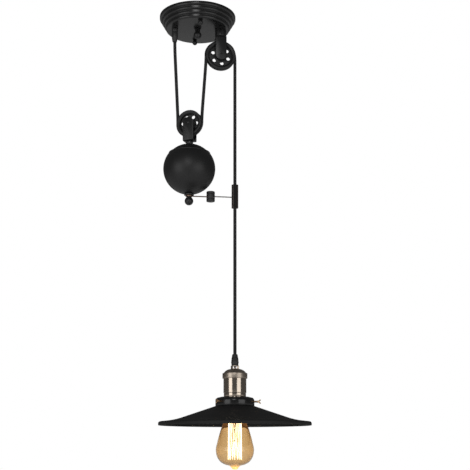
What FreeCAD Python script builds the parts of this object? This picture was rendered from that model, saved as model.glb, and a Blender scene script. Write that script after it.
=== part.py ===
import FreeCAD, Part
import math
import os

# Rise and fall pendant. Millimetres, +Z up. The origin is the centre of the canopy in the ceiling plane,
# +X points from the cord gland to the upper sheave and the lamp, and -Y is the front.

V = FreeCAD.Vector
UP = V(0, 0, 1)

# Clearances
SEAT = 0.05  # round a fixed shaft, screw or spigot in its hole
RUNNING = 0.06  # round a turning shaft in its bore
APART = 0.3  # between pieces that move past each other
GRIP_GAP = 0.1  # round the cord where it is gripped
EDGE = 0.7  # chamfer of a turned edge

# Canopy
CANOPY_RADIUS = 70.0
CANOPY_PLATE_RADIUS = 55.0
CANOPY_HEIGHT = 26.4
CANOPY_WALL = 1.0
CANOPY_STEPS = 4
CANOPY_EDGE = 1.1  # flat part of each step, above its rounding

# Crossbar on the ceiling, and what holds the canopy to it
BAR_WIDTH = 20.0
BAR_THICKNESS = 2.0
BAR_LENGTH = 108.0
BAR_MIDDLE = 66.0
BAR_DROP = 6.0
BAR_SLOT_WIDTH = 4.5
BAR_SLOT_LENGTH = 12.0
BAR_SLOT_SPACING = 44.0
BAR_CENTRE_HOLE = 10.5
CANOPY_SCREW_SPACING = 90.0
CANOPY_SCREW_RADIUS = 2.0
SCREW_HEAD_RADIUS = 3.6
SCREW_HEAD_HEIGHT = 2.4
SCREW_HEAD_EDGE = 0.8
BALL_NUT_RADIUS = 4.5
BALL_NUT_LENGTH = 8.4
BALL_NUT_BORE_DEPTH = 6.0
BALL_NUT_COLLAR = 0.9
EARTH_SCREW_Y = 6.5
EARTH_SCREW_X = 6.5
EARTH_WASHER_RADIUS = 4.6

# Centre knob of the canopy
CENTRE_KNOB_RADIUS = 7.25
CENTRE_KNOB_DROP = 8.6
CENTRE_KNOB_NECK = 4.6
CENTRE_STUD_RADIUS = 3.0
CENTRE_STUD_RISE = 7.0
NUT_HEIGHT = 3.0
NUT_WALL = 2.8

# Cord and its gland
CORD_RADIUS = 2.9
CORE_RADIUS = 0.8
CORE_BEND_REACH = 2.4  # how far before its corner a core starts to bend, at most
CORE_LEAD = 6.0  # straight end of a core before its first bend and its last
GLAND_X = -42.0
GLAND_RADIUS = 5.75
GLAND_TIP_RADIUS = 3.7
GLAND_BODY_LENGTH = 14.5
GLAND_LENGTH = 25.0
GLAND_SPIGOT_RADIUS = 4.9
GLAND_SPIGOT_RISE = 8.0
SHEATH_RISE = 10.0  # the cord's sheath ends this far above the canopy plate

# Terminal block in the canopy
BLOCK_X = -20.0
BLOCK_Y = 16.0
BLOCK_WIDTH = 14.0
BLOCK_LENGTH = 27.0
BLOCK_HEIGHT = 11.0
BLOCK_BORE = 1.7
BLOCK_GROOVE_WIDTH = 1.2
BLOCK_GROOVE_DEPTH = 3.85
BLOCK_SCREW_SUNK = 0.8
BLOCK_WAYS = 3
SCREW_SLOT_WIDTH = 0.6
SCREW_SLOT_DEPTH = 0.7

# Forks: a strap bent to a U, with rounded ends about the axle
STRAP_WIDTH = 20.0
STRAP_THICKNESS = 2.0
STRAP_BEND = 2.6
AXLE_RADIUS = 2.5
AXLE_PROUD = 0.5
WASHER_RADIUS = 5.2
WASHER_THICKNESS = 0.7
COLLAR_RADIUS = 10.5
COLLAR_HEIGHT = 10.0
HANGER_BOLT_RADIUS = 3.0
HANGER_HEAD_RADIUS = 5.0
HANGER_HEAD_HEIGHT = 2.6
BOLT_PAST_NUT = 2.5

# Sheaves
SHEAVE_WIDTH = 12.0
SHEAVE_HUB_RADIUS = 6.4
SHEAVE_WEB = 2.6
SHEAVE_LIP = 3.2
SHEAVE_RECESS = 2.0
SHEAVE_RIM = 2.4
SHEAVE_HOLES = 6
SHEAVE_HOLE_RADIUS = 3.25
SHEAVE_MOUTH = 1.1  # the groove's mouth is this much wider than its bottom, on each side
UPPER_SHEAVE_X = 43.0
UPPER_SHEAVE_Z = -73.0
UPPER_FLANGE_RADIUS = 27.2
UPPER_CORD_TURN = 26.8  # radius of the cord's centre line round the sheave
UPPER_HOLE_CIRCLE = 15.0
UPPER_HOLE_ANGLE = 39.0
LOWER_SHEAVE_Z = -207.0
LOWER_FLANGE_RADIUS = 23.8
LOWER_CORD_TURN = 23.2
LOWER_HOLE_CIRCLE = 12.9
LOWER_HOLE_ANGLE = 57.0
LOWER_FORK_TURN = -28.0  # degrees about Z, from the plane of the upper sheave

# Where the straight runs of cord bend to meet the gland and the sheaves
GLAND_BEND_DROP = 6.0
GLAND_BEND_RADIUS = 40.0
SHEAVE_BEND_HEIGHT = 10.0
SHEAVE_BEND_RADIUS = 70.0

# Counterweight
BALL_X = -12.6
BALL_Z = -292.5
BALL_RADIUS = 46.4
BALL_WALL = 1.2
BALL_SEAM_RISE = 29.5
BALL_CAP_INSET = 0.35
BALL_FLOOR = 0.94  # depth of the flat floor inside, as a share of the inner radius
LOWER_FORK_DEPTH = 34.2  # from the axle down to the outside of the fork's base
ROD_RADIUS = 3.0
NECK_RADIUS = 6.3
ROD_NUT_HEIGHT = 4.0
BALLAST_RADIUS = 31.0
BALLAST_HEIGHT = 43.0
BOTTOM_WASHER_RADIUS = 8.7
BOTTOM_WASHER_THICKNESS = 2.3
FINIAL_RADIUS = 7.7
FINIAL_NECK_RADIUS = 4.6
FINIAL_NECK_HEIGHT = 1.6

# Guide arm from the counterweight to the lamp's cord
ARM_ROD_RADIUS = 1.05
ARM_EYE_RADIUS = 6.2
ARM_EYE_THICKNESS = 2.6
ARM_BACK_Y = 4.8
ARM_STEP_Z = 2.2
CLAMP_X = 26.4
CLAMP_RADIUS = 7.5
CLAMP_HEIGHT = 18.0
CLAMP_SCREW_RADIUS = 2.0
CLAMP_WALL = 1.5  # left past the end of each rod
SLEEVE_RADIUS = 6.0
SLEEVE_BORE_RADIUS = 3.5
SLEEVE_LENGTH = 42.5
SLEEVE_SLOT = 5.2
SLEEVE_TOP_ABOVE_ROD = 21.5
ARM_ROD_PAST_SLEEVE = 1.2

# Cord grip, yoke and lamp holder
GRIP_TOP_Z = -621.0
GRIP_LENGTH = 19.5
GRIP_TOP_RADIUS = 4.5
GRIP_MIDDLE_RADIUS = 6.7
GRIP_MIDDLE_DROP = 12.0
GRIP_BOTTOM_RADIUS = 5.7
GRIP_FLOOR = 2.0
YOKE_RADIUS = 7.1
YOKE_HEIGHT = 6.0
YOKE_PLATE = 1.0
YOKE_WINDOW = 9.4
NIPPLE_RADIUS = 5.0
NIPPLE_LENGTH = 10.0
NIPPLE_BORE = 3.4
HOLDER_DOME_HEIGHT = 7.0
HOLDER_DOME_TOP_RADIUS = 9.0
HOLDER_CROWN_OUT = 1.6
HOLDER_CROWN_UP = 1.2
HOLDER_RING_RADIUS = 21.35
HOLDER_RING_HEIGHT = 9.0
HOLDER_RADIUS = 19.55
HOLDER_FOOT_RADIUS = 18.9
HOLDER_FOOT_HEIGHT = 6.2
HOLDER_HEIGHT = 31.0
HOLDER_STEP = 0.6
HOLDER_WALL = 1.4
HOLDER_SKIRT_RADIUS = 17.6
HOLDER_SKIRT_LENGTH = 10.0
RING_NUT_RADIUS = 23.0
RING_NUT_HEIGHT = 4.2
RING_NUT_NOTCH = 2.0
INSERT_BASE = 7.0
INSERT_WALL = 1.6
SHELL_WALL = 0.4
SOCKET_RADIUS = 13.5
SOCKET_LIP = 4.0

# Gallery, shade and its thumbscrews
GALLERY_RADIUS = 33.25
GALLERY_HEIGHT = 15.0
GALLERY_DISH = 1.8
GALLERY_SHOULDER = 3.4
GALLERY_WALL = 1.2
SHADE_RADIUS = 130.0
SHADE_WALL = 0.8
SHADE_NECK_RADIUS = 29.4
SHADE_NECK_HEIGHT = 11.0
SHADE_NECK_FLANGE = 1.2
SHADE_NECK_BEND = 1.2
SHADE_BELOW_GALLERY = 0.4
SHADE_CONE_TOP_RADIUS = 33.2
SHADE_CONE_RADIUS = 103.0
SHADE_CONE_HEIGHT = 23.4
SHADE_BRIM_DROP = 2.9
SHADE_LIP_HEIGHT = 6.0
SHADE_LIP_BEND = 2.8
THUMBSCREW_COUNT = 3
THUMBSCREW_FIRST_ANGLE = -24.0
THUMBSCREW_DROP = 8.5
THUMBSCREW_RADIUS = 1.5
THUMBSCREW_SHANK = 7.5  # outside the gallery, up to the wings
THUMBSCREW_WING_REACH = 4.6
THUMBSCREW_WING_SPREAD = 3.8
THUMBSCREW_WING_THICKNESS = 1.6
THUMBSCREW_WING_ARM = 2.0
THUMBSCREW_WING_ROOT = 1.2

# Bulb
CAP_RADIUS = 13.15
CAP_LENGTH = 22.0
CAP_WALL = 0.35
CAP_TIP_RADIUS = 4.8
CAP_TIP_HEIGHT = 1.2
CAP_SHOULDER_OUT = 3.0
CAP_SHOULDER_DROP = 1.0
INSULATOR_HEIGHT = 3.0
BULB_LENGTH = 144.5
BULB_RADIUS = 32.0
BULB_WIDEST = 29.0  # above the end of the pip
BULB_SHOULDER_RADIUS = 25.0
BULB_SHOULDER = 62.0  # above the end of the pip
BULB_NECK_RADIUS = 13.4
BULB_FLOOR_RADIUS = 17.0
BULB_FLOOR = 8.6
PIP_RADIUS = 5.6
PIP_HEIGHT = 4.4
GLASS_WALL = 0.7
GLASS_IN_CAP = 8.0  # how far the glass goes up inside the cap
GLASS_NECK_DROP = 4.0
STEM_RADIUS = 4.6
STEM_LENGTH = 42.0
STEM_ROD_RADIUS = 1.3
STEM_ROD_LENGTH = 40.0
FILAMENT_HOOKS = 5  # in each ring, with two strands from each
FILAMENT_TOP_RADIUS = 5.0
FILAMENT_BOTTOM_RADIUS = 12.0
FILAMENT_HEIGHT = 58.0
FILAMENT_WIRE = 0.35

# Places that follow from the sizes above
PLATE_Z = -CANOPY_HEIGHT
PLATE_INSIDE_Z = PLATE_Z + CANOPY_WALL
BAR_END_TOP_Z = -BAR_DROP
SHEAVE_GROOVE = CORD_RADIUS + APART
FORK_GAP = SHEAVE_WIDTH + 2 * (WASHER_THICKNESS + APART)
FORK_OVERALL = FORK_GAP + 2 * STRAP_THICKNESS
COLLAR_BOTTOM_Z = PLATE_Z - COLLAR_HEIGHT
LAMP_X = UPPER_SHEAVE_X + UPPER_CORD_TURN
LOWER_FORK_BASE_Z = LOWER_SHEAVE_Z - LOWER_FORK_DEPTH
BALL_TOP_Z = BALL_Z + BALL_RADIUS - BALL_CAP_INSET
BALL_BOTTOM_Z = BALL_Z - BALL_RADIUS
WASHER_BOTTOM_Z = BALL_BOTTOM_Z - BOTTOM_WASHER_THICKNESS
FRONT_ROD_Z = WASHER_BOTTOM_Z - ARM_EYE_THICKNESS / 2
BACK_ROD_Z = FRONT_ROD_Z + ARM_STEP_Z
FINIAL_TOP_Z = WASHER_BOTTOM_Z - ARM_EYE_THICKNESS
GRIP_BOTTOM_Z = GRIP_TOP_Z - GRIP_LENGTH
YOKE_BOTTOM_Z = GRIP_BOTTOM_Z - YOKE_HEIGHT
RING_TOP_Z = YOKE_BOTTOM_Z - HOLDER_DOME_HEIGHT
HOLDER_TOP_Z = RING_TOP_Z - HOLDER_RING_HEIGHT
HOLDER_BOTTOM_Z = HOLDER_TOP_Z - HOLDER_HEIGHT
GALLERY_BOTTOM_Z = HOLDER_BOTTOM_Z - GALLERY_HEIGHT
INSERT_RADIUS = HOLDER_SKIRT_RADIUS - HOLDER_WALL - SEAT
CONTACT_BOTTOM_Z = HOLDER_TOP_Z - INSERT_BASE - SHELL_WALL / 2
CAP_TOP_Z = CONTACT_BOTTOM_Z - APART - CAP_TIP_HEIGHT
BULB_END_Z = CAP_TOP_Z + CAP_TIP_HEIGHT - BULB_LENGTH


# Helpers


def rod(radius, start, end):
    """A round bar from one point to another."""
    along = end - start
    return Part.makeCylinder(radius, along.Length, start, along)


def post(radius, top, bottom, x=0.0, y=0.0):
    """An upright round bar."""
    return rod(radius, V(x, y, bottom), V(x, y, top))


def pipe(outer, inner, top, bottom, x=0.0, y=0.0):
    """An upright round bar with a bore."""
    return post(outer, top, bottom, x, y).cut(post(inner, top + 1, bottom - 1, x, y))


def lathe(steps, x=0.0, y=0.0):
    """A solid of revolution about an upright axis. A step is (radius, z) for a line to it, or
    ((radius, z), (radius, z)) for an arc through the first to the second."""
    edges = []
    here = steps[0]
    for step in steps[1:] + steps[:1]:
        through, there = step if isinstance(step[0], tuple) else (None, step)
        start, end = V(here[0], 0, here[1]), V(there[0], 0, there[1])
        if through:
            edges.append(Part.Arc(start, V(through[0], 0, through[1]), end).toShape())
        elif start.distanceToPoint(end) > 1e-6:
            edges.append(Part.LineSegment(start, end).toShape())
        here = there
    solid = Part.Face(Part.Wire(edges)).revolve(V(0, 0, 0), UP, 360)
    solid.translate(V(x, y, 0))
    return solid


def on_circle(radius, angle, centre=(0.0, 0.0)):
    """The point of a circle at an angle in degrees, as a pair."""
    turn = math.radians(angle)
    return (centre[0] + radius * math.cos(turn), centre[1] + radius * math.sin(turn))


def hex_nut(radius, bore, top, bottom, x=0.0, y=0.0):
    """A hexagonal nut of a given radius over its corners."""
    corners = [V(*on_circle(radius, 60 * i, (x, y)), bottom) for i in range(6)]
    nut = Part.Face(Part.makePolygon(corners + corners[:1])).extrude(V(0, 0, top - bottom))
    return nut.cut(post(bore, top + 1, bottom - 1, x, y))


def facing_front(shape):
    """Turns a shape made about Z so that its axis lies along Y."""
    shape.rotate(V(0, 0, 0), V(1, 0, 0), 90)
    return shape


def fused(shapes):
    return shapes[0].multiFuse(shapes[1:]).removeSplitter()


# Canopy group


def canopy_outline(inset):
    """Stepped side of the canopy, from the ceiling down to the plate, moved in and up by inset."""
    rise = CANOPY_HEIGHT / CANOPY_STEPS
    run = (CANOPY_RADIUS - CANOPY_PLATE_RADIUS) / CANOPY_STEPS
    steps = [(0, 0)]
    for i in range(CANOPY_STEPS):
        radius, top = CANOPY_RADIUS - inset - i * run, inset - i * rise
        bottom, inner = top - rise, radius - run
        middle = (inner + run * 0.7, bottom + (rise - CANOPY_EDGE) * 0.3)
        steps += [(radius, min(top, 0)), (radius, top - CANOPY_EDGE), middle, (inner, bottom)]
    return steps + [(0, inset - CANOPY_HEIGHT)]


def make_canopy():
    shell = lathe(canopy_outline(0)).cut(lathe(canopy_outline(CANOPY_WALL)))
    holes = [post(GLAND_SPIGOT_RADIUS + SEAT, 0, PLATE_Z - 1, GLAND_X),
             post(CENTRE_STUD_RADIUS + SEAT, 0, PLATE_Z - 1),
             post(HANGER_BOLT_RADIUS + SEAT, 0, PLATE_Z - 1, UPPER_SHEAVE_X)]
    for side in (-1, 1):
        holes.append(post(CANOPY_SCREW_RADIUS + SEAT, 0, PLATE_Z - 1, 0, side * CANOPY_SCREW_SPACING / 2))
    return shell.cut(Part.makeCompound(holes))


def make_crossbar():
    """Flat strip with dropped ends: slots for the ceiling screws, tapped holes for the canopy screws."""
    flat, end, slope = BAR_MIDDLE / 2, BAR_LENGTH / 2, BAR_DROP
    upper = [(-end, -BAR_DROP), (-flat - slope, -BAR_DROP), (-flat, 0),
             (flat, 0), (flat + slope, -BAR_DROP), (end, -BAR_DROP)]
    outline = upper + [(y, z - BAR_THICKNESS) for y, z in reversed(upper)]
    points = [V(-BAR_WIDTH / 2, y, z) for y, z in outline]
    bar = Part.Face(Part.makePolygon(points + points[:1])).extrude(V(BAR_WIDTH, 0, 0))
    holes = [post(BAR_CENTRE_HOLE / 2, 1, -BAR_THICKNESS - 1)]
    for side in (-1, 1):
        middle = side * BAR_SLOT_SPACING / 2
        half = (BAR_SLOT_LENGTH - BAR_SLOT_WIDTH) / 2
        slot = Part.makeBox(BAR_SLOT_WIDTH, 2 * half, BAR_THICKNESS + 2,
                            V(-BAR_SLOT_WIDTH / 2, middle - half, -BAR_THICKNESS - 1))
        ends = [post(BAR_SLOT_WIDTH / 2, 1, -BAR_THICKNESS - 1, 0, middle + d) for d in (-half, half)]
        holes.append(slot.multiFuse(ends))
        holes.append(post(CANOPY_SCREW_RADIUS + SEAT, 0, -2 * BAR_DROP, 0, side * CANOPY_SCREW_SPACING / 2))
    holes.append(post(CANOPY_SCREW_RADIUS + SEAT, 1, -BAR_THICKNESS - 1, EARTH_SCREW_X, EARTH_SCREW_Y))
    return bar.cut(Part.makeCompound(holes))


def make_canopy_screws():
    head_top = BAR_END_TOP_Z + SCREW_HEAD_HEIGHT
    tip = PLATE_Z - BALL_NUT_BORE_DEPTH + SEAT
    edge = BAR_END_TOP_Z + SCREW_HEAD_EDGE
    one = [(0, head_top), (SCREW_HEAD_RADIUS * 0.7, head_top), (SCREW_HEAD_RADIUS, edge),
           (SCREW_HEAD_RADIUS, BAR_END_TOP_Z), (CANOPY_SCREW_RADIUS, BAR_END_TOP_Z),
           (CANOPY_SCREW_RADIUS, tip), (0, tip)]
    return Part.makeCompound([lathe(one, 0, side * CANOPY_SCREW_SPACING / 2) for side in (-1, 1)])


def make_ball_nuts():
    centre = PLATE_Z - BALL_NUT_LENGTH + BALL_NUT_RADIUS
    collar = PLATE_Z - BALL_NUT_COLLAR
    collar_radius = math.sqrt(BALL_NUT_RADIUS ** 2 - (collar - centre) ** 2)
    bore, floor = CANOPY_SCREW_RADIUS + SEAT, PLATE_Z - BALL_NUT_BORE_DEPTH
    one = [(bore, PLATE_Z), (collar_radius, PLATE_Z), (collar_radius, collar),
           (on_circle(BALL_NUT_RADIUS, -10, (0, centre)), (0, PLATE_Z - BALL_NUT_LENGTH)),
           (0, floor), (bore, floor)]
    return Part.makeCompound([lathe(one, 0, side * CANOPY_SCREW_SPACING / 2) for side in (-1, 1)])


def make_centre_knob():
    centre = PLATE_Z - CENTRE_KNOB_DROP
    neck_angle = math.degrees(math.acos(CENTRE_KNOB_NECK / CENTRE_KNOB_RADIUS))
    neck = on_circle(CENTRE_KNOB_RADIUS, neck_angle, (0, centre))
    side = on_circle(CENTRE_KNOB_RADIUS, -20, (0, centre))
    top = PLATE_INSIDE_Z + CENTRE_STUD_RISE
    return lathe([(0, top), (CENTRE_STUD_RADIUS, top), (CENTRE_STUD_RADIUS, PLATE_Z),
                  (CENTRE_KNOB_NECK, PLATE_Z), neck, (side, (0, centre - CENTRE_KNOB_RADIUS))])


def make_earth_screw():
    """Screw and washer for the earth core, up into the crossbar."""
    low = -BAR_THICKNESS
    washer = low - WASHER_THICKNESS
    head = washer - SCREW_HEAD_HEIGHT
    return lathe([(0, -APART), (CANOPY_SCREW_RADIUS, -APART), (CANOPY_SCREW_RADIUS, low),
                  (EARTH_WASHER_RADIUS, low), (EARTH_WASHER_RADIUS, washer), (SCREW_HEAD_RADIUS, washer),
                  (SCREW_HEAD_RADIUS, head), (0, head)], EARTH_SCREW_X, EARTH_SCREW_Y)


def make_gland_body():
    top = PLATE_Z + GLAND_SPIGOT_RISE
    bottom = PLATE_Z - GLAND_LENGTH
    bore = CORD_RADIUS + GRIP_GAP
    return lathe([(bore, top), (GLAND_SPIGOT_RADIUS, top), (GLAND_SPIGOT_RADIUS, PLATE_Z),
                  (GLAND_RADIUS, PLATE_Z), (GLAND_RADIUS, PLATE_Z - GLAND_BODY_LENGTH),
                  (GLAND_TIP_RADIUS + EDGE, bottom + EDGE), (GLAND_TIP_RADIUS, bottom), (bore, bottom)],
                 GLAND_X)


def make_canopy_nuts():
    """Nuts on the inside of the canopy plate: for the gland, the centre knob and the hanger bolt."""
    places = {GLAND_X: GLAND_SPIGOT_RADIUS, 0.0: CENTRE_STUD_RADIUS, UPPER_SHEAVE_X: HANGER_BOLT_RADIUS}
    top = PLATE_INSIDE_Z + NUT_HEIGHT
    return Part.makeCompound([hex_nut(radius + NUT_WALL, radius + SEAT, top, PLATE_INSIDE_Z, x)
                              for x, radius in places.items()])


def block_corner():
    return V(BLOCK_X - BLOCK_WIDTH / 2, BLOCK_Y - BLOCK_LENGTH / 2, PLATE_INSIDE_Z)


def way_y(i):
    """Y of a way of the terminal block."""
    return BLOCK_Y + (i - (BLOCK_WAYS - 1) / 2) * BLOCK_LENGTH / BLOCK_WAYS


def make_terminal_block():
    block = Part.makeBox(BLOCK_WIDTH, BLOCK_LENGTH, BLOCK_HEIGHT, block_corner())
    middle = PLATE_INSIDE_Z + BLOCK_HEIGHT / 2
    groove = V(BLOCK_WIDTH + 2, BLOCK_GROOVE_WIDTH, BLOCK_GROOVE_DEPTH)
    cuts = []
    for i in range(BLOCK_WAYS):
        ends = [V(BLOCK_X + side * BLOCK_WIDTH, way_y(i), middle) for side in (-1, 1)]
        cuts.append(rod(BLOCK_BORE, *ends))
        cuts.append(post(BLOCK_BORE, 0, middle, BLOCK_X, way_y(i)))
    for i in range(BLOCK_WAYS - 1):
        corner = V(BLOCK_X - groove.x / 2, (way_y(i) + way_y(i + 1) - groove.y) / 2,
                   PLATE_INSIDE_Z + BLOCK_HEIGHT - groove.z)
        cuts.append(Part.makeBox(*groove, corner))
    return block.cut(Part.makeCompound(cuts))


def screw_slot(x, y, top, depth=SCREW_SLOT_DEPTH):
    """A driver's slot across a screw, cut down from its top."""
    return Part.makeBox(2 * SCREW_HEAD_RADIUS, SCREW_SLOT_WIDTH, depth + 1,
                        V(x - SCREW_HEAD_RADIUS, y - SCREW_SLOT_WIDTH / 2, top - depth))


def make_terminal_screws():
    middle = PLATE_INSIDE_Z + BLOCK_HEIGHT / 2
    screws = []
    for i in range(BLOCK_WAYS):
        top = PLATE_INSIDE_Z + BLOCK_HEIGHT - BLOCK_SCREW_SUNK
        screw = post(BLOCK_BORE - SEAT, top, middle + CORE_RADIUS + SEAT, BLOCK_X, way_y(i))
        screws.append(screw.cut(screw_slot(BLOCK_X, way_y(i), top)))
    return Part.makeCompound(screws)


# Cord


def rounded(points, radii):
    """Straight runs and the tangent arcs between them, as edges in order: run, arc, run, arc, ... run."""
    edges = []
    start = points[0]
    for i, radius in enumerate(radii, 1):
        corner = points[i]
        back = (points[i - 1] - corner).normalize()
        ahead = (points[i + 1] - corner).normalize()
        half = back.getAngle(ahead) / 2
        reach = radius / math.tan(half)
        centre = corner + (back + ahead).normalize() * (radius / math.sin(half))
        middle = centre + (corner - centre).normalize() * radius
        if start.distanceToPoint(corner + back * reach) > 1e-6:
            edges.append(Part.LineSegment(start, corner + back * reach).toShape())
        edges.append(Part.Arc(corner + back * reach, middle, corner + ahead * reach).toShape())
        start = corner + ahead * reach
    edges.append(Part.LineSegment(start, points[-1]).toShape())
    return edges


def tube(edges, radius):
    """A round tube along joined edges, with its volume set against section times length."""
    path = Part.Wire(edges)
    first = edges[0].valueAt(edges[0].FirstParameter)
    heading = edges[0].tangentAt(edges[0].FirstParameter)
    ring = Part.Wire(Part.makeCircle(radius, first, heading))
    solid = path.makePipeShell([ring], True, False)
    share = solid.Volume / (math.pi * radius ** 2 * path.Length)
    print(f"tube of {path.Length:.1f} mm, {share:.4f} of section times length")
    return solid


def half_turn(x, z, radius, turn, way):
    """The four corners of the cord's route half round a sheave: way 1 is over it and -1 under it."""
    corners = []
    for angle in (157.5, 112.5, 67.5, 22.5):
        across, up = on_circle(radius / math.cos(math.radians(22.5)), angle)
        corners.append(V(*on_circle(across, turn, (x, 0.0)), z + way * up))
    return corners


def cord_parts():
    """The cord from the canopy round both sheaves to the lamp, split where a stretch starts to move."""
    under = half_turn(BALL_X, LOWER_SHEAVE_Z, LOWER_CORD_TURN, LOWER_FORK_TURN, -1)
    over = half_turn(UPPER_SHEAVE_X, UPPER_SHEAVE_Z, UPPER_CORD_TURN, 0, 1)
    left, right, lamp_side = under[0], under[-1], over[-1]
    route = [V(GLAND_X, 0, PLATE_INSIDE_Z + SHEATH_RISE),
             V(GLAND_X, 0, PLATE_Z - GLAND_LENGTH - GLAND_BEND_DROP),
             V(left.x, left.y, LOWER_SHEAVE_Z + SHEAVE_BEND_HEIGHT),
             *under,
             V(right.x, right.y, LOWER_SHEAVE_Z + SHEAVE_BEND_HEIGHT),
             V(over[0].x, 0, UPPER_SHEAVE_Z - SHEAVE_BEND_HEIGHT),
             *over,
             V(lamp_side.x, 0, GRIP_TOP_Z)]
    radii = [GLAND_BEND_RADIUS, SHEAVE_BEND_RADIUS, *[LOWER_CORD_TURN] * 4, SHEAVE_BEND_RADIUS,
             SHEAVE_BEND_RADIUS, *[UPPER_CORD_TURN] * 4]
    print("cord bends, mm:", radii)
    edges = rounded(route, radii)
    straight = [i for i, edge in enumerate(edges) if not hasattr(edge.Curve, "Radius")]
    fixed, middle, lamp = sorted(sorted(straight, key=lambda i: -edges[i].Length)[:3])
    print(f"cord length from canopy to lamp {sum(edge.Length for edge in edges):.1f} mm")
    grip = [Part.LineSegment(V(LAMP_X, 0, GRIP_TOP_Z), V(LAMP_X, 0, GRIP_BOTTOM_Z + GRIP_FLOOR)).toShape()]
    stretches = {"cord_supply_tail": edges[:fixed], "cord_fixed_run": edges[fixed:fixed + 1],
                 "cord_lower_loop": edges[fixed + 1:middle], "cord_middle_run": edges[middle:middle + 1],
                 "cord_upper_loop": edges[middle + 1:lamp], "cord_lamp_run": edges[lamp:],
                 "cord_lamp_tail": grip}
    return {name: tube(stretch, CORD_RADIUS) for name, stretch in stretches.items()}


def core(points):
    """One insulated core along a rounded route."""
    radii = []
    for before, here, after in zip(points, points[1:], points[2:]):
        bend = math.pi - (before - here).getAngle(after - here)
        shorter = min((before - here).Length, (after - here).Length)
        radii.append(min(0.45 * shorter, CORE_BEND_REACH) / math.tan(bend / 2))
    return tube(rounded(points, radii), CORE_RADIUS)


def make_supply_cores():
    """Three cores from the end of the sheath: two to the terminal block, one to the earth screw."""
    sheath_end = PLATE_INSIDE_Z + SHEATH_RISE
    entry = BLOCK_X - BLOCK_WIDTH / 2
    middle = PLATE_INSIDE_Z + BLOCK_HEIGHT / 2
    cores = []
    for i in range(BLOCK_WAYS - 1):
        x, y = on_circle(2 * CORE_RADIUS, 180 * i + 90, (GLAND_X, 0))
        cores.append(core([V(x, y, sheath_end), V(x, y, sheath_end + CORE_LEAD),
                           V(entry - CORE_LEAD, way_y(i), middle), V(BLOCK_X - 1, way_y(i), middle)]))
    low = -BAR_THICKNESS - WASHER_THICKNESS - SCREW_HEAD_HEIGHT - CORE_RADIUS
    x = GLAND_X + 2 * CORE_RADIUS
    end = V(EARTH_SCREW_X, EARTH_SCREW_Y, low)
    cores.append(core([V(x, 0, sheath_end), V(x, 0, sheath_end + CORE_LEAD - 1),
                       end - V(1.5 * CORE_LEAD, 0.7 * CORE_LEAD, 0), end]))
    return Part.makeCompound(cores)


# Forks and sheaves, made about the axle with the strap hanging down from the base


def fork(base):
    """U of flat strap: its base is this far above the axle, and its ends are round about the axle."""
    half = FORK_OVERALL / 2
    block = Part.makeBox(STRAP_WIDTH, FORK_OVERALL, base, V(-STRAP_WIDTH / 2, -half, 0))
    tops = [e for e in block.Edges if abs(e.BoundBox.ZMin - base) < 1e-6]
    bends = [e for e in tops if e.BoundBox.XLength > STRAP_WIDTH / 2]
    block = block.makeFillet(STRAP_BEND, bends)
    ends = rod(STRAP_WIDTH / 2, V(0, -half, 0), V(0, half, 0))
    gap = Part.makeBox(2 * STRAP_WIDTH, FORK_GAP, base - STRAP_THICKNESS + STRAP_WIDTH,
                       V(-STRAP_WIDTH, -FORK_GAP / 2, -STRAP_WIDTH))
    holes = fused([rod(AXLE_RADIUS + SEAT, V(0, -half - 1, 0), V(0, half + 1, 0)),
                   post(HANGER_BOLT_RADIUS + SEAT, base + 1, base - STRAP_THICKNESS - 1)])
    return fused([block, ends]).cut(gap).cut(holes)


def axle():
    """Pin with low domed ends, one fork wide."""
    half = FORK_OVERALL / 2
    edge = AXLE_RADIUS * 0.75
    return facing_front(lathe([(0, half + AXLE_PROUD), (edge, half + AXLE_PROUD), (AXLE_RADIUS, half),
                               (AXLE_RADIUS, -half), (edge, -half - AXLE_PROUD), (0, -half - AXLE_PROUD)]))


def axle_washers():
    """A washer at each end of the sheave's hub, against the strap."""
    inner = FORK_GAP / 2 - WASHER_THICKNESS
    bore = AXLE_RADIUS + SEAT
    return Part.makeCompound([facing_front(pipe(WASHER_RADIUS, bore, top, top - WASHER_THICKNESS))
                              for top in (FORK_GAP / 2, -inner)])


def sheave(flange_radius, cord_turn, hole_circle, hole_angle):
    """Grooved wheel with a thin web, six round holes and a hub, open lips to its flanges."""
    half, web = SHEAVE_WIDTH / 2, SHEAVE_WEB / 2
    bore = AXLE_RADIUS + RUNNING
    rim = cord_turn - SHEAVE_GROOVE - SHEAVE_RIM
    lip = flange_radius - SHEAVE_LIP
    side = [(bore, half), (SHEAVE_HUB_RADIUS, half), (SHEAVE_HUB_RADIUS, web), (rim, web),
            (rim, half - SHEAVE_RECESS), (lip, half), (flange_radius, half),
            (flange_radius, SHEAVE_GROOVE + SHEAVE_MOUTH), (cord_turn, SHEAVE_GROOVE)]
    other = [(radius, -z) for radius, z in reversed(side)]
    wheel = lathe(side + [((cord_turn - SHEAVE_GROOVE, 0), other[0])] + other[1:])
    holes = []
    for i in range(SHEAVE_HOLES):
        x, y = on_circle(hole_circle, hole_angle + i * 360 / SHEAVE_HOLES)
        holes.append(post(SHEAVE_HOLE_RADIUS, half, -half, x, y))
    return facing_front(wheel.cut(Part.makeCompound(holes)))


def make_upper_sheave():
    return sheave(UPPER_FLANGE_RADIUS, UPPER_CORD_TURN, UPPER_HOLE_CIRCLE, UPPER_HOLE_ANGLE)


def make_lower_sheave():
    return sheave(LOWER_FLANGE_RADIUS, LOWER_CORD_TURN, LOWER_HOLE_CIRCLE, LOWER_HOLE_ANGLE)


def at_upper(shape):
    """Carries a shape made about an axle to the upper sheave."""
    shape.translate(V(UPPER_SHEAVE_X, 0, UPPER_SHEAVE_Z))
    return shape


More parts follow.
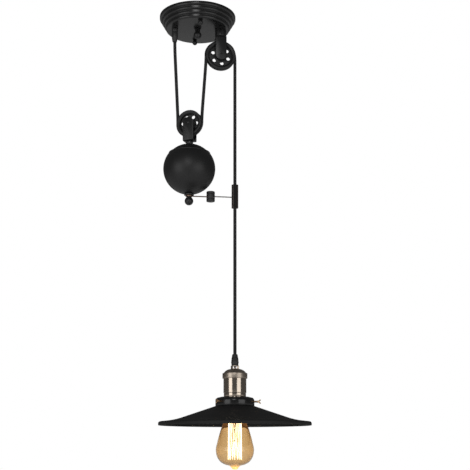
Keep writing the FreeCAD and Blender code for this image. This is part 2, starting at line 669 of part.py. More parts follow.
def at_lower(shape):
    """Carries a shape made about an axle to the lower sheave, with the turn of its fork."""
    shape.rotate(V(0, 0, 0), UP, LOWER_FORK_TURN)
    shape.translate(V(BALL_X, 0, LOWER_SHEAVE_Z))
    return shape


def upside_down(shape):
    shape.rotate(V(0, 0, 0), V(0, 1, 0), 180)
    return shape


def make_upper_collar():
    bore, low = HANGER_BOLT_RADIUS + SEAT, COLLAR_BOTTOM_Z
    return lathe([(bore, PLATE_Z), (COLLAR_RADIUS, PLATE_Z), (COLLAR_RADIUS, low + EDGE),
                  (COLLAR_RADIUS - EDGE, low), (bore, low)], UPPER_SHEAVE_X)


def make_hanger_bolt():
    """Up through the fork, the collar and the canopy plate, into the nut inside."""
    seat = COLLAR_BOTTOM_Z - STRAP_THICKNESS
    low, top = seat - HANGER_HEAD_HEIGHT, PLATE_INSIDE_Z + NUT_HEIGHT + BOLT_PAST_NUT
    return lathe([(0, top), (HANGER_BOLT_RADIUS, top), (HANGER_BOLT_RADIUS, seat),
                  (HANGER_HEAD_RADIUS, seat), (HANGER_HEAD_RADIUS, low + EDGE),
                  (HANGER_HEAD_RADIUS - EDGE, low), (0, low)], UPPER_SHEAVE_X)


# Counterweight


def make_ball_cap():
    radius = BALL_RADIUS - BALL_CAP_INSET
    inner, bore = radius - BALL_WALL, ROD_RADIUS + SEAT
    seam, z = BALL_SEAM_RISE, BALL_Z
    edge, inner_edge = math.sqrt(radius ** 2 - seam ** 2), math.sqrt(inner ** 2 - seam ** 2)
    top = z + math.sqrt(radius ** 2 - bore ** 2)
    return lathe([(bore, z + inner), on_circle(inner, 65, (0, z)), (inner_edge, z + seam),
                  (edge, z + seam), (on_circle(radius, 65, (0, z)), (bore, top))], BALL_X)


def make_ball_bowl():
    radius, bore = BALL_RADIUS, ROD_RADIUS + SEAT
    inner, seam, z = radius - BALL_WALL, BALL_SEAM_RISE, BALL_Z
    edge = math.sqrt(radius ** 2 - seam ** 2)
    inner_edge = math.sqrt(inner ** 2 - seam ** 2) - BALL_WALL
    low = z - math.sqrt(radius ** 2 - bore ** 2)
    floor = z - inner * BALL_FLOOR
    inside = [on_circle(inner, angle, (0, z)) for angle in (10, -15, -45)]
    return lathe([(inner_edge, z + seam), *inside, (BALLAST_RADIUS / 2, floor), (bore, floor),
                  (bore, low), (on_circle(radius, -25, (0, z)), (edge, z + seam))], BALL_X)


def make_ballast():
    """Cast weight round the rod, on the floor of the ball."""
    floor = BALL_Z - (BALL_RADIUS - BALL_WALL) * BALL_FLOOR
    bore, top = ROD_RADIUS + SEAT, floor + BALLAST_HEIGHT
    return lathe([(bore, floor), (BALLAST_RADIUS / 2, floor), (BALLAST_RADIUS, floor + BALLAST_HEIGHT * 0.45),
                  (BALLAST_RADIUS, top), (bore, top)], BALL_X)


def make_rod_nut():
    """On the tie rod's upper end, inside the lower fork."""
    seat = LOWER_FORK_BASE_Z + STRAP_THICKNESS
    return hex_nut(ROD_RADIUS + NUT_WALL, ROD_RADIUS + SEAT, seat + ROD_NUT_HEIGHT, seat, BALL_X)


def make_tie_rod():
    top = LOWER_FORK_BASE_Z + STRAP_THICKNESS + ROD_NUT_HEIGHT + 1
    return post(ROD_RADIUS, top, FINIAL_TOP_Z - FINIAL_RADIUS, BALL_X)


def make_bottom_washer():
    return pipe(BOTTOM_WASHER_RADIUS, ROD_RADIUS + SEAT, BALL_BOTTOM_Z, WASHER_BOTTOM_Z, BALL_X)


def make_finial():
    neck = FINIAL_TOP_Z - FINIAL_NECK_HEIGHT
    half_angle = math.degrees(math.acos(FINIAL_NECK_RADIUS / FINIAL_RADIUS))
    centre = neck - FINIAL_RADIUS * math.sin(math.radians(half_angle))
    bore, floor = ROD_RADIUS + SEAT, FINIAL_TOP_Z - FINIAL_RADIUS - SEAT
    return lathe([(bore, FINIAL_TOP_Z), (FINIAL_NECK_RADIUS, FINIAL_TOP_Z), (FINIAL_NECK_RADIUS, neck),
                  (on_circle(FINIAL_RADIUS, -10, (0, centre)), (0, centre - FINIAL_RADIUS)),
                  (0, floor), (bore, floor)], BALL_X)


# Guide arm


def make_front_rod():
    """From an eye under the ball to the clamp."""
    eye = pipe(ARM_EYE_RADIUS, ROD_RADIUS + SEAT, WASHER_BOTTOM_Z, FINIAL_TOP_Z, BALL_X)
    bar = rod(ARM_ROD_RADIUS, V(BALL_X + (ARM_EYE_RADIUS + ROD_RADIUS) / 2, 0, FRONT_ROD_Z),
              V(CLAMP_X + CLAMP_RADIUS - CLAMP_WALL, 0, FRONT_ROD_Z))
    return fused([eye, bar])


def back_rod_end():
    return LAMP_X + math.sqrt(SLEEVE_RADIUS ** 2 - ARM_BACK_Y ** 2) + ARM_ROD_PAST_SLEEVE


def make_back_rod():
    """From the clamp through the back wall of the guide sleeve."""
    return rod(ARM_ROD_RADIUS, V(CLAMP_X - CLAMP_RADIUS + CLAMP_WALL, ARM_BACK_Y, BACK_ROD_Z),
               V(back_rod_end(), ARM_BACK_Y, BACK_ROD_Z))


def clamp_top():
    return (FRONT_ROD_Z + BACK_ROD_Z) / 2 + CLAMP_HEIGHT / 2


def make_clamp():
    y, top = ARM_BACK_Y / 2, clamp_top()
    bottom = top - CLAMP_HEIGHT
    drum = lathe([(0, top), (CLAMP_RADIUS - EDGE, top), (CLAMP_RADIUS, top - EDGE),
                  (CLAMP_RADIUS, bottom + EDGE), (CLAMP_RADIUS - EDGE, bottom), (0, bottom)], CLAMP_X, y)
    hole, inside, outside = ARM_ROD_RADIUS + SEAT, CLAMP_RADIUS - CLAMP_WALL, 2 * CLAMP_RADIUS
    cuts = [rod(hole, V(CLAMP_X - outside, 0, FRONT_ROD_Z), V(CLAMP_X + inside, 0, FRONT_ROD_Z)),
            rod(hole, V(CLAMP_X - inside, ARM_BACK_Y, BACK_ROD_Z),
                V(CLAMP_X + outside, ARM_BACK_Y, BACK_ROD_Z)),
            post(CLAMP_SCREW_RADIUS + SEAT, FRONT_ROD_Z, bottom - 1, CLAMP_X, 0),
            post(CLAMP_SCREW_RADIUS + SEAT, top + 1, BACK_ROD_Z, CLAMP_X, ARM_BACK_Y)]
    return drum.cut(Part.makeCompound(cuts))


def make_clamp_screws():
    """Set screws: one up against the front rod, one down against the back rod."""
    top = clamp_top()
    bottom = top - CLAMP_HEIGHT + APART
    low = post(CLAMP_SCREW_RADIUS, FRONT_ROD_Z - ARM_ROD_RADIUS - SEAT, bottom, CLAMP_X, 0)
    high = post(CLAMP_SCREW_RADIUS, top - APART, BACK_ROD_Z + ARM_ROD_RADIUS + SEAT, CLAMP_X, ARM_BACK_Y)
    low_slot = screw_slot(CLAMP_X, 0, bottom + SCREW_SLOT_DEPTH, SCREW_SLOT_DEPTH + 1)
    return Part.makeCompound([low.cut(low_slot), high.cut(screw_slot(CLAMP_X, ARM_BACK_Y, top - APART))])


def make_guide_sleeve():
    """Round sleeve with a lengthwise slot in front, which shows the cord."""
    top = BACK_ROD_Z + SLEEVE_TOP_ABOVE_ROD
    bottom = top - SLEEVE_LENGTH
    sleeve = pipe(SLEEVE_RADIUS, SLEEVE_BORE_RADIUS, top, bottom, LAMP_X)
    slot = Part.makeBox(SLEEVE_SLOT, SLEEVE_RADIUS + 1, SLEEVE_LENGTH + 2,
                        V(LAMP_X - SLEEVE_SLOT / 2, -SLEEVE_RADIUS - 1, bottom - 1))
    hole = rod(ARM_ROD_RADIUS + SEAT, V(LAMP_X - 2 * SLEEVE_RADIUS, ARM_BACK_Y, BACK_ROD_Z),
               V(LAMP_X + 2 * SLEEVE_RADIUS, ARM_BACK_Y, BACK_ROD_Z))
    return sleeve.cut(slot).cut(hole)


# Lamp: cord grip, yoke, holder


def make_cord_grip():
    bore, top, low = CORD_RADIUS + GRIP_GAP, GRIP_TOP_Z, GRIP_BOTTOM_Z
    return lathe([(bore, top), (GRIP_TOP_RADIUS, top), (GRIP_MIDDLE_RADIUS, top - GRIP_MIDDLE_DROP),
                  (GRIP_BOTTOM_RADIUS, low), (core_hole(), low), (core_hole(), low + GRIP_FLOOR),
                  (bore, low + GRIP_FLOOR)], LAMP_X)


def core_hole():
    """Radius of a hole that takes the three lamp cores side by side."""
    return CORE_RADIUS * (1 + 2 / math.sqrt(3)) + GRIP_GAP


def make_yoke():
    """Hoop between the cord grip and the holder, open at front and back round the cores."""
    body = pipe(YOKE_RADIUS, core_hole(), GRIP_BOTTOM_Z, YOKE_BOTTOM_Z, LAMP_X)
    window = Part.makeBox(YOKE_WINDOW, 2 * YOKE_RADIUS + 2, YOKE_HEIGHT - 2 * YOKE_PLATE,
                          V(LAMP_X - YOKE_WINDOW / 2, -YOKE_RADIUS - 1, YOKE_BOTTOM_Z + YOKE_PLATE))
    return body.cut(window)


def make_nipple():
    """Threaded tube from the yoke's plate down through the dome."""
    return pipe(NIPPLE_RADIUS, NIPPLE_BORE, YOKE_BOTTOM_Z, YOKE_BOTTOM_Z - NIPPLE_LENGTH, LAMP_X)


def make_holder_cap():
    ring, wall, hole = HOLDER_RING_RADIUS, HOLDER_WALL, NIPPLE_RADIUS + SEAT
    top, shoulder, bottom = YOKE_BOTTOM_Z, RING_TOP_Z, HOLDER_TOP_Z
    crown = ((HOLDER_DOME_TOP_RADIUS + HOLDER_RADIUS) / 2 + HOLDER_CROWN_OUT,
             (top + shoulder) / 2 + HOLDER_CROWN_UP)
    inside = HOLDER_RADIUS - wall
    return lathe([(hole, top), (HOLDER_DOME_TOP_RADIUS, top), (crown, (HOLDER_RADIUS, shoulder)),
                  (ring - EDGE, shoulder), (ring, shoulder - EDGE), (ring, bottom + EDGE),
                  (ring - EDGE, bottom), (inside, bottom), (inside, shoulder - wall),
                  (HOLDER_DOME_TOP_RADIUS, top - wall), (hole, top - wall)], LAMP_X)


def make_holder_body():
    top, bottom = HOLDER_TOP_Z, HOLDER_BOTTOM_Z
    step, skirt = bottom + HOLDER_FOOT_HEIGHT, bottom - HOLDER_SKIRT_LENGTH
    inside = HOLDER_SKIRT_RADIUS - HOLDER_WALL
    return lathe([(inside, top), (HOLDER_RADIUS, top), (HOLDER_RADIUS, step + HOLDER_STEP),
                  (HOLDER_FOOT_RADIUS, step), (HOLDER_FOOT_RADIUS, bottom), (HOLDER_SKIRT_RADIUS, bottom),
                  (HOLDER_SKIRT_RADIUS, skirt), (inside, skirt)], LAMP_X)


def make_ring_nut():
    top = HOLDER_BOTTOM_Z - GALLERY_WALL
    low = top - RING_NUT_HEIGHT
    ring = pipe(RING_NUT_RADIUS, HOLDER_SKIRT_RADIUS + SEAT, top, low, LAMP_X)
    places = [on_circle(RING_NUT_RADIUS, 60 * i + 30, (LAMP_X, 0)) for i in range(6)]
    return ring.cut(Part.makeCompound([post(RING_NUT_NOTCH, top + 1, low - 1, x, y) for x, y in places]))


def insert_bottom():
    return CAP_TOP_Z - CAP_LENGTH


def make_porcelain():
    """Insulating insert: a base under the terminals and a skirt round the screw shell."""
    top, base = HOLDER_TOP_Z, HOLDER_TOP_Z - INSERT_BASE
    inner = INSERT_RADIUS - INSERT_WALL
    body = lathe([(0, top), (INSERT_RADIUS, top), (INSERT_RADIUS, insert_bottom()), (inner, insert_bottom()),
                  (inner, base), (0, base)], LAMP_X)
    holes = [post(CORE_RADIUS + SEAT, top + 1, base - 1, *terminal_place(i)) for i in range(3)]
    return body.cut(Part.makeCompound(holes))


def terminal_place(i):
    return on_circle(SOCKET_RADIUS * 0.6, 120 * i + 90, (LAMP_X, 0))


def make_screw_shell():
    """Thin metal shell that takes the bulb's cap, turned in at its top."""
    base = HOLDER_TOP_Z - INSERT_BASE
    outer, inner = SOCKET_RADIUS + SHELL_WALL, SOCKET_RADIUS
    bottom = insert_bottom() + SHELL_WALL
    lip = CAP_TIP_RADIUS + SOCKET_LIP
    return lathe([(lip, base), (outer, base), (outer, bottom), (inner, bottom), (inner, CONTACT_BOTTOM_Z),
                  (lip, CONTACT_BOTTOM_Z)], LAMP_X)


def make_centre_contact():
    """Low disc against the porcelain, just clear of the bulb's tip."""
    return post(CAP_TIP_RADIUS - 1, HOLDER_TOP_Z - INSERT_BASE, CONTACT_BOTTOM_Z, LAMP_X)


def make_lamp_cores():
    start, turn = GRIP_BOTTOM_Z + GRIP_FLOOR, YOKE_BOTTOM_Z - NIPPLE_LENGTH - CORE_RADIUS
    bunch = CORE_RADIUS * 2 / math.sqrt(3) + 0.02
    spread = HOLDER_TOP_Z + CORE_BEND_REACH + SEAT
    cores = []
    for i in range(3):
        x, y = on_circle(bunch, 120 * i + 90, (LAMP_X, 0))
        end_x, end_y = terminal_place(i)
        cores.append(core([V(x, y, start), V(x, y, turn), V(end_x, end_y, spread),
                           V(end_x, end_y, HOLDER_TOP_Z - INSERT_BASE * 0.6)]))
    return Part.makeCompound(cores)


# Gallery, shade and thumbscrews


def thumbscrew_angle(i):
    return THUMBSCREW_FIRST_ANGLE - i * 360 / THUMBSCREW_COUNT


def thumbscrew_z():
    return HOLDER_BOTTOM_Z - THUMBSCREW_DROP


def from_lamp(radius, angle, z):
    x, y = on_circle(radius, angle, (LAMP_X, 0))
    return V(x, y, z)


def make_gallery():
    """Inverted cup that the shade hangs in, clamped between the holder and its ring nut."""
    top, bottom, wall = HOLDER_BOTTOM_Z, GALLERY_BOTTOM_Z, GALLERY_WALL
    hole, side, bend = HOLDER_SKIRT_RADIUS + SEAT, GALLERY_RADIUS, GALLERY_SHOULDER
    flat, dish = RING_NUT_RADIUS + 0.5, GALLERY_DISH
    corner = on_circle(bend, 48, (side - bend, top - dish - bend))
    cup = lathe([(hole, top), (flat, top), (side - bend, top - dish), (corner, (side, top - dish - bend)),
                 (side, bottom), (side - wall, bottom), (side - wall, top - dish - bend),
                 (side - bend, top - dish - wall), (flat, top - wall), (hole, top - wall)], LAMP_X)
    z = thumbscrew_z()
    holes = [rod(THUMBSCREW_RADIUS + RUNNING, from_lamp(side - 5, thumbscrew_angle(i), z),
                 from_lamp(side + 2, thumbscrew_angle(i), z)) for i in range(THUMBSCREW_COUNT)]
    return cup.cut(Part.makeCompound(holes))


def make_shade():
    """Wide flat cone with a turned-down lip, and a flanged neck that hangs on the thumbscrews."""
    wall, neck = SHADE_WALL, SHADE_NECK_RADIUS
    flange = neck + SHADE_NECK_FLANGE
    cone_top = GALLERY_BOTTOM_Z - SHADE_BELOW_GALLERY
    neck_top = cone_top + SHADE_NECK_HEIGHT
    cone_low = cone_top - SHADE_CONE_HEIGHT
    brim = cone_low - SHADE_BRIM_DROP
    lip = brim - SHADE_LIP_HEIGHT
    bend = (SHADE_RADIUS - SHADE_LIP_BEND, brim - SHADE_LIP_BEND)
    corner = on_circle(SHADE_LIP_BEND, 45, bend)
    outer = [(flange, neck_top), (flange, neck_top - wall), (neck, neck_top - wall),
             (neck, cone_top + SHADE_NECK_BEND), (SHADE_CONE_TOP_RADIUS, cone_top),
             (SHADE_CONE_RADIUS, cone_low), (SHADE_RADIUS - SHADE_LIP_BEND, brim),
             (corner, (SHADE_RADIUS, brim - SHADE_LIP_BEND)), (SHADE_RADIUS, lip)]
    inner = [(SHADE_RADIUS - wall, lip), (SHADE_RADIUS - wall, brim - SHADE_LIP_BEND),
             (SHADE_RADIUS - SHADE_LIP_BEND, brim - wall), (SHADE_CONE_RADIUS - wall / 8, cone_low - wall),
             (SHADE_CONE_TOP_RADIUS - wall / 3, cone_top - wall),
             (neck - wall, cone_top + SHADE_NECK_BEND - wall / 2), (neck - wall, neck_top)]
    return lathe(outer + inner, LAMP_X)


def make_thumbscrew(i):
    """Shank through the gallery to the shade's neck, with a forked wing head, made along +X at the lamp."""
    tip = SHADE_NECK_RADIUS + APART
    shoulder = GALLERY_RADIUS + THUMBSCREW_SHANK
    z, half, thick = thumbscrew_z(), THUMBSCREW_WING_SPREAD, THUMBSCREW_WING_THICKNESS
    shank = rod(THUMBSCREW_RADIUS, V(tip, 0, 0), V(shoulder, 0, 0))
    reach, root = shoulder + THUMBSCREW_WING_REACH, shoulder - THUMBSCREW_WING_ROOT
    arm = THUMBSCREW_WING_ARM
    upper = [(reach, half - arm), (reach, half - arm / 10), (reach - arm / 2, half),
             (root, THUMBSCREW_RADIUS)]
    outline = [(x, -up) for x, up in reversed(upper)] + [(shoulder + THUMBSCREW_WING_ROOT, 0)] + upper
    points = [V(x, -thick / 2, up) for x, up in outline]
    wings = Part.Face(Part.makePolygon(points + points[:1])).extrude(V(0, thick, 0))
    screw = fused([shank, wings])
    screw.rotate(V(0, 0, 0), UP, thumbscrew_angle(i))
    screw.translate(V(LAMP_X, 0, z))
    return screw


# Bulb


def make_bulb_cap():
    """Screw cap, a thin shell closed over the top by its insulator."""
    bottom, wall = CAP_TOP_Z - CAP_LENGTH, CAP_WALL
    shoulder = CAP_TOP_Z - INSULATOR_HEIGHT
    narrow, top = CAP_TIP_RADIUS + CAP_SHOULDER_OUT, CAP_TOP_Z - CAP_SHOULDER_DROP
    return lathe([(narrow, top), (CAP_RADIUS, shoulder), (CAP_RADIUS, bottom), (CAP_RADIUS - wall, bottom),
                  (CAP_RADIUS - wall, shoulder - wall / 2), (narrow, top - 2 * wall)], LAMP_X)


def make_bulb_insulator():
    top, low = CAP_TOP_Z - CAP_WALL / 2, CAP_TOP_Z - INSULATOR_HEIGHT
    side = CAP_TIP_RADIUS + CAP_SHOULDER_OUT - SEAT
    return lathe([(0, top), (CAP_TIP_RADIUS + EDGE, top), (side, CAP_TOP_Z - CAP_SHOULDER_DROP),
                  (side, low), (0, low)], LAMP_X)


def make_bulb_contact():
    top, low = CAP_TOP_Z + CAP_TIP_HEIGHT, CAP_TOP_Z - CAP_WALL / 2
    return lathe([(0, top), (CAP_TIP_RADIUS * 0.6, top), (CAP_TIP_RADIUS, CAP_TOP_Z + CAP_WALL / 2),
                  (CAP_TIP_RADIUS, low), (0, low)], LAMP_X)


def glass_top():
    return CAP_TOP_Z - CAP_LENGTH + GLASS_IN_CAP


def bulb_outline(inset):
    """Glass from its neck in the cap down to the pip, moved in by inset."""
    end, neck_top = BULB_END_Z + inset, glass_top()
    neck_low = CAP_TOP_Z - CAP_LENGTH - GLASS_NECK_DROP
    neck = BULB_NECK_RADIUS - inset
    in_cap = CAP_RADIUS - CAP_WALL - SEAT - inset
    shoulder = (BULB_SHOULDER_RADIUS - inset, BULB_END_Z + BULB_SHOULDER)
    widest = (BULB_RADIUS - inset, BULB_END_Z + BULB_WIDEST)
    belly = (BULB_RADIUS - 7.4 - inset, BULB_END_Z + (BULB_WIDEST + BULB_FLOOR) / 2 - 5.2 + inset / 2)
    return [(0, neck_top), (in_cap, neck_top), (in_cap, CAP_TOP_Z - CAP_LENGTH - SEAT), (neck, neck_low),
            ((shoulder[0] - 4.6, (neck_low + shoulder[1]) / 2), shoulder), widest,
            (belly, (BULB_FLOOR_RADIUS - inset, BULB_END_Z + BULB_FLOOR + inset)),
            (PIP_RADIUS, end + PIP_HEIGHT), (PIP_RADIUS - 2, end + 1), (0, end)]


def make_bulb_glass():
    above = post(BULB_RADIUS, 0, glass_top() - GLASS_WALL, LAMP_X)
    return lathe(bulb_outline(0), LAMP_X).cut(lathe(bulb_outline(GLASS_WALL), LAMP_X).cut(above))


def filament_top():
    return glass_top() - STEM_LENGTH


def make_bulb_stem():
    """Pressed glass stem and its rod, which carry the filament's hooks."""
    top, end = glass_top() - GLASS_WALL, filament_top()
    rod_end = end - STEM_ROD_LENGTH
    return lathe([(0, top), (STEM_RADIUS * 1.6, top), (STEM_RADIUS, top - GLASS_IN_CAP),
                  (STEM_RADIUS * 0.8, end + STEM_RADIUS), (STEM_ROD_RADIUS, end), (STEM_ROD_RADIUS, rod_end),
                  (0, rod_end)], LAMP_X)


def upper_hook(i):
    return from_lamp(FILAMENT_TOP_RADIUS, 360 * i / FILAMENT_HOOKS, filament_top() - 1)


def lower_hook(i):
    """A hook of the lower ring, halfway round between two upper ones."""
    low = filament_top() - FILAMENT_HEIGHT
    return from_lamp(FILAMENT_BOTTOM_RADIUS, 360 * (i + 0.5) / FILAMENT_HOOKS, low)


def make_filament():
    """One wire down and up between two rings of hooks, with the wires that hold the hooks to the stem."""
    wire = FILAMENT_WIRE
    stem_end = V(LAMP_X, 0, filament_top() - STEM_ROD_LENGTH - SEAT - wire)
    pieces = []
    for i in range(FILAMENT_HOOKS):
        upper, lower = upper_hook(i), lower_hook(i)
        stem_side = from_lamp(STEM_ROD_RADIUS + SEAT, 360 * i / FILAMENT_HOOKS, upper.z)
        pieces += [rod(wire, upper, lower), rod(wire, lower, upper_hook(i + 1)),
                   rod(wire, stem_side, upper), rod(wire, stem_end, lower),
                   Part.makeSphere(wire * 1.5, upper), Part.makeSphere(wire * 1.5, lower)]
    return fused(pieces)


def build():
    nodes = {
        "canopy": make_canopy(),
        "ceiling_crossbar": make_crossbar(),
        "canopy_screws": make_canopy_screws(),
        "ball_nuts": make_ball_nuts(),
        "earth_screw": make_earth_screw(),
        "centre_knob": make_centre_knob(),
        "canopy_nuts": make_canopy_nuts(),
        "gland_body": make_gland_body(),
        "terminal_block": make_terminal_block(),
        "terminal_screws": make_terminal_screws(),
        "supply_cores": make_supply_cores(),
        "upper_collar": make_upper_collar(),
        "hanger_bolt": make_hanger_bolt(),
        "upper_fork": at_upper(fork(COLLAR_BOTTOM_Z - UPPER_SHEAVE_Z)),
        "upper_axle": at_upper(axle()),
        "upper_washers": at_upper(axle_washers()),
        "upper_sheave": at_upper(make_upper_sheave()),
        "lower_fork": at_lower(upside_down(fork(LOWER_FORK_DEPTH))),
        "lower_axle": at_lower(axle()),
        "lower_washers": at_lower(axle_washers()),
        "lower_sheave": at_lower(make_lower_sheave()),
        "rod_nut": make_rod_nut(),
        "neck_collar": pipe(NECK_RADIUS, ROD_RADIUS + SEAT, LOWER_FORK_BASE_Z, BALL_TOP_Z, BALL_X),
        "tie_rod": make_tie_rod(),
        "ball_cap": make_ball_cap(),
        "ball_bowl": make_ball_bowl(),
        "ballast": make_ballast(),
        "bottom_washer": make_bottom_washer(),
        "finial_knob": make_finial(),
        "arm_front_rod": make_front_rod(),
        "arm_back_rod": make_back_rod(),
        "arm_clamp": make_clamp(),
        "clamp_screws": make_clamp_screws(),
        "guide_sleeve": make_guide_sleeve(),
        "cord_grip": make_cord_grip(),
        "yoke": make_yoke(),
        "nipple": make_nipple(),
        "holder_cap": make_holder_cap(),
        "holder_body": make_holder_body(),
        "porcelain_insert": make_porcelain(),
        "socket_contacts": Part.makeCompound([make_screw_shell(), make_centre_contact()]),
        "lamp_cores": make_lamp_cores(),
        "ring_nut": make_ring_nut(),
        "shade_gallery": make_gallery(),
        "shade": make_shade(),
        "bulb_glass": make_bulb_glass(),
        "bulb_cap": Part.makeCompound([make_bulb_cap(), make_bulb_contact()]),
        "bulb_insulator": make_bulb_insulator(),
        "bulb_stem": make_bulb_stem(),
        "filament": make_filament(),
    }
    nodes.update(cord_parts())
    for i in range(THUMBSCREW_COUNT):
        nodes[f"thumbscrew_{i + 1}"] = make_thumbscrew(i)
    return nodes


os.makedirs("parts", exist_ok=True)
for name, shape in build().items():
    if shape.Volume < 0:
        shape.reverse()
    shape.exportStep(f"parts/{name}.step")
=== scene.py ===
import math
from types import SimpleNamespace

import bmesh
import bpy
from bpy.props import FloatProperty, FloatVectorProperty, IntProperty, PointerProperty
from mathutils import Matrix, Vector


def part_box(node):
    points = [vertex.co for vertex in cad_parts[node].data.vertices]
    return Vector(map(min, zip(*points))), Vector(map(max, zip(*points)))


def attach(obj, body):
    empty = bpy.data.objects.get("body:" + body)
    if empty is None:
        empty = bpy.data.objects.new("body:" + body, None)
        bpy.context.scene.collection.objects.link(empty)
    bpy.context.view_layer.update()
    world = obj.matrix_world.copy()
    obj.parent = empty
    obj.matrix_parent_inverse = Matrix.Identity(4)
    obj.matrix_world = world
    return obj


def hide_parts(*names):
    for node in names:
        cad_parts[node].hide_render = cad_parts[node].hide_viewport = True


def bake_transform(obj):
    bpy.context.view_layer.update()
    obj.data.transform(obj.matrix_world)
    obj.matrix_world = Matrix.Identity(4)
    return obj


bl_info = {
    "name": "Rise and fall pendant",
    "version": (1, 0, 0),
    "blender": (4, 5, 0),
    "location": "View3D > Sidebar > Pendant",
    "description": "Dresses the packed rise and fall pendant with its pieces and finishes",
    "category": "Object",
}

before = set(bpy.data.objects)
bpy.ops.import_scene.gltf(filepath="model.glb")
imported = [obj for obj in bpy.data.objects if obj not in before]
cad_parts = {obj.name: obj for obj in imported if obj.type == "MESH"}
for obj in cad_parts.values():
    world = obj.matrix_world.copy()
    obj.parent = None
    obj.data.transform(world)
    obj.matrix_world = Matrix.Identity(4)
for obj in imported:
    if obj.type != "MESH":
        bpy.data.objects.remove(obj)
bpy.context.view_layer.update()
MM = 0.001
ROUND = 96  # faces round a large turned piece
SMALL_ROUND = 48  # faces round a small one
BALL_ROUND = 128  # faces round the canopy, the ball and the floor
SHADE_ROUND = 160


def extent(node):
    """A CAD node's box in millimetres, with its middle and its largest radius."""
    low, high = (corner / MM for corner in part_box(node))
    middle = (low + high) / 2
    return SimpleNamespace(left=low.x, right=high.x, front=low.y, back=high.y, bottom=low.z, top=high.z,
                           x=middle.x, y=middle.y, z=middle.z, radius=(high.x - low.x) / 2)


# The cord's route from the canopy to the lamp, in metres. Four points lead it round each sheave, and the
# long runs have a point of their own about 35 mm from what they come to.
CORD_ROUTE = [
    (-0.0420, 0.0000, -0.0154), (-0.0420, 0.0000, -0.0574),
    (-0.0398, 0.0027, -0.0922), (-0.0353, 0.0082, -0.1622),
    (-0.0331, 0.0109, -0.1970),
    (-0.0331, 0.0109, -0.2166), (-0.0211, 0.0045, -0.2302), (-0.0041, -0.0045, -0.2302),
    (0.0079, -0.0109, -0.2166),
    (0.0079, -0.0109, -0.1970), (0.0104, -0.0076, -0.1622), (0.0137, -0.0033, -0.1178),
    (0.0162, 0.0000, -0.0830),
    (0.0162, 0.0000, -0.0619), (0.0319, 0.0000, -0.0462), (0.0541, 0.0000, -0.0462),
    (0.0698, 0.0000, -0.0619),
    (0.0698, 0.0000, -0.1080), (0.0698, 0.0000, -0.6385),
]
UPPER_TURN = 26.8  # radius of the cord's centre line round each sheave
LOWER_TURN = 23.2
GROOVE_SHARE = 0.6  # of that radius, how far past an axle the cord still slides as the ball travels


# Sizes and colours that a user would change


def millimetres(name, description, default):
    return FloatProperty(name=name, description=description, default=default * MM, unit="LENGTH")


def number(name, description, default, least):
    return IntProperty(name=name, description=description, default=default, min=least)


class PendantSizes(bpy.types.PropertyGroup):
    cord_diameter: millimetres("Cord diameter", "Outside the textile sheath", 5.8)
    braid_carriers: number("Braid carriers", "Strands of the cord's braid round it, each way", 16, 4)
    knurl_teeth: number("Knurl teeth", "Teeth round the holder's ring", 60, 12)
    knurl_depth: millimetres("Knurl depth", "Depth between two teeth of the ring", 0.45)
    glass_wall: millimetres("Glass wall", "Thickness of the bulb's glass", 0.7)
    filament_loops: number("Filament loops", "Loops of the filament, with two strands each", 9, 3)
    filament_wire: millimetres("Filament wire", "Diameter of a glowing strand", 0.65)


def colour(name, description, default):
    return FloatVectorProperty(name=name, description=description, subtype="COLOR", size=3, min=0, max=1,
                               default=default)


class PendantFinishes(bpy.types.PropertyGroup):
    black: colour("Black", "Paint of the canopy, the sheaves and the shade", (0.007, 0.007, 0.0072))
    cord: colour("Cord", "Textile sheath of the cord", (0.014, 0.014, 0.0142))
    bronze: colour("Bronze", "Antique plating of the lamp holder", (0.62, 0.53, 0.44))
    brass: colour("Brass", "The thumbscrews", (0.78, 0.52, 0.30))
    amber: colour("Amber", "Tint of the bulb's glass", (0.82, 0.66, 0.44))
    glow: colour("Glow", "Light of the filament", (1.0, 0.90, 0.72))
    filament_light: FloatProperty(
        name="Filament light", description="Strength of the filament's light", default=4.5, min=0)


def sizes():
    return bpy.context.scene.pendant_sizes


def finishes():
    return bpy.context.scene.pendant_finishes


# Shared shader effects


def group_of(name, inputs, outputs):
    """A shader node group, with its input and output sockets. An input without a number is a colour."""
    tree = bpy.data.node_groups.new(name, "ShaderNodeTree")
    for label, default in inputs.items():
        kind = "NodeSocketColor" if default is None else "NodeSocketFloat"
        socket = tree.interface.new_socket(name=label, in_out="INPUT", socket_type=kind)
        if default is not None:
            socket.default_value = default
    for label in outputs:
        kind = "NodeSocketColor" if label == "Colour" else "NodeSocketFloat"
        tree.interface.new_socket(name=label, in_out="OUTPUT", socket_type=kind)
    return tree, tree.nodes.new("NodeGroupInput").outputs, tree.nodes.new("NodeGroupOutput").inputs


def feed(tree, socket, value):
    """Gives a socket what it reads: another socket, or a constant."""
    if isinstance(value, bpy.types.NodeSocket):
        tree.links.new(value, socket)
    else:
        socket.default_value = value


def math_node(tree, operation, *values):
    """A Math node fed by sockets or numbers. Gives its output."""
    node = tree.nodes.new("ShaderNodeMath")
    node.operation = operation
    for socket, value in zip(node.inputs, values):
        feed(tree, socket, value)
    return node.outputs[0]


def noise_node(tree, vector, scale, detail):
    node = tree.nodes.new("ShaderNodeTexNoise")
    for label, value in (("Vector", vector), ("Scale", scale), ("Detail", detail)):
        feed(tree, node.inputs[label], value)
    return node.outputs["Fac"]


def span_node(tree, value, low, high, start=0.0, end=1.0):
    """Maps start..end to low..high."""
    node = tree.nodes.new("ShaderNodeMapRange")
    for label, given in (("Value", value), ("From Min", start), ("From Max", end), ("To Min", low),
                         ("To Max", high)):
        feed(tree, node.inputs[label], given)
    return node.outputs["Result"]


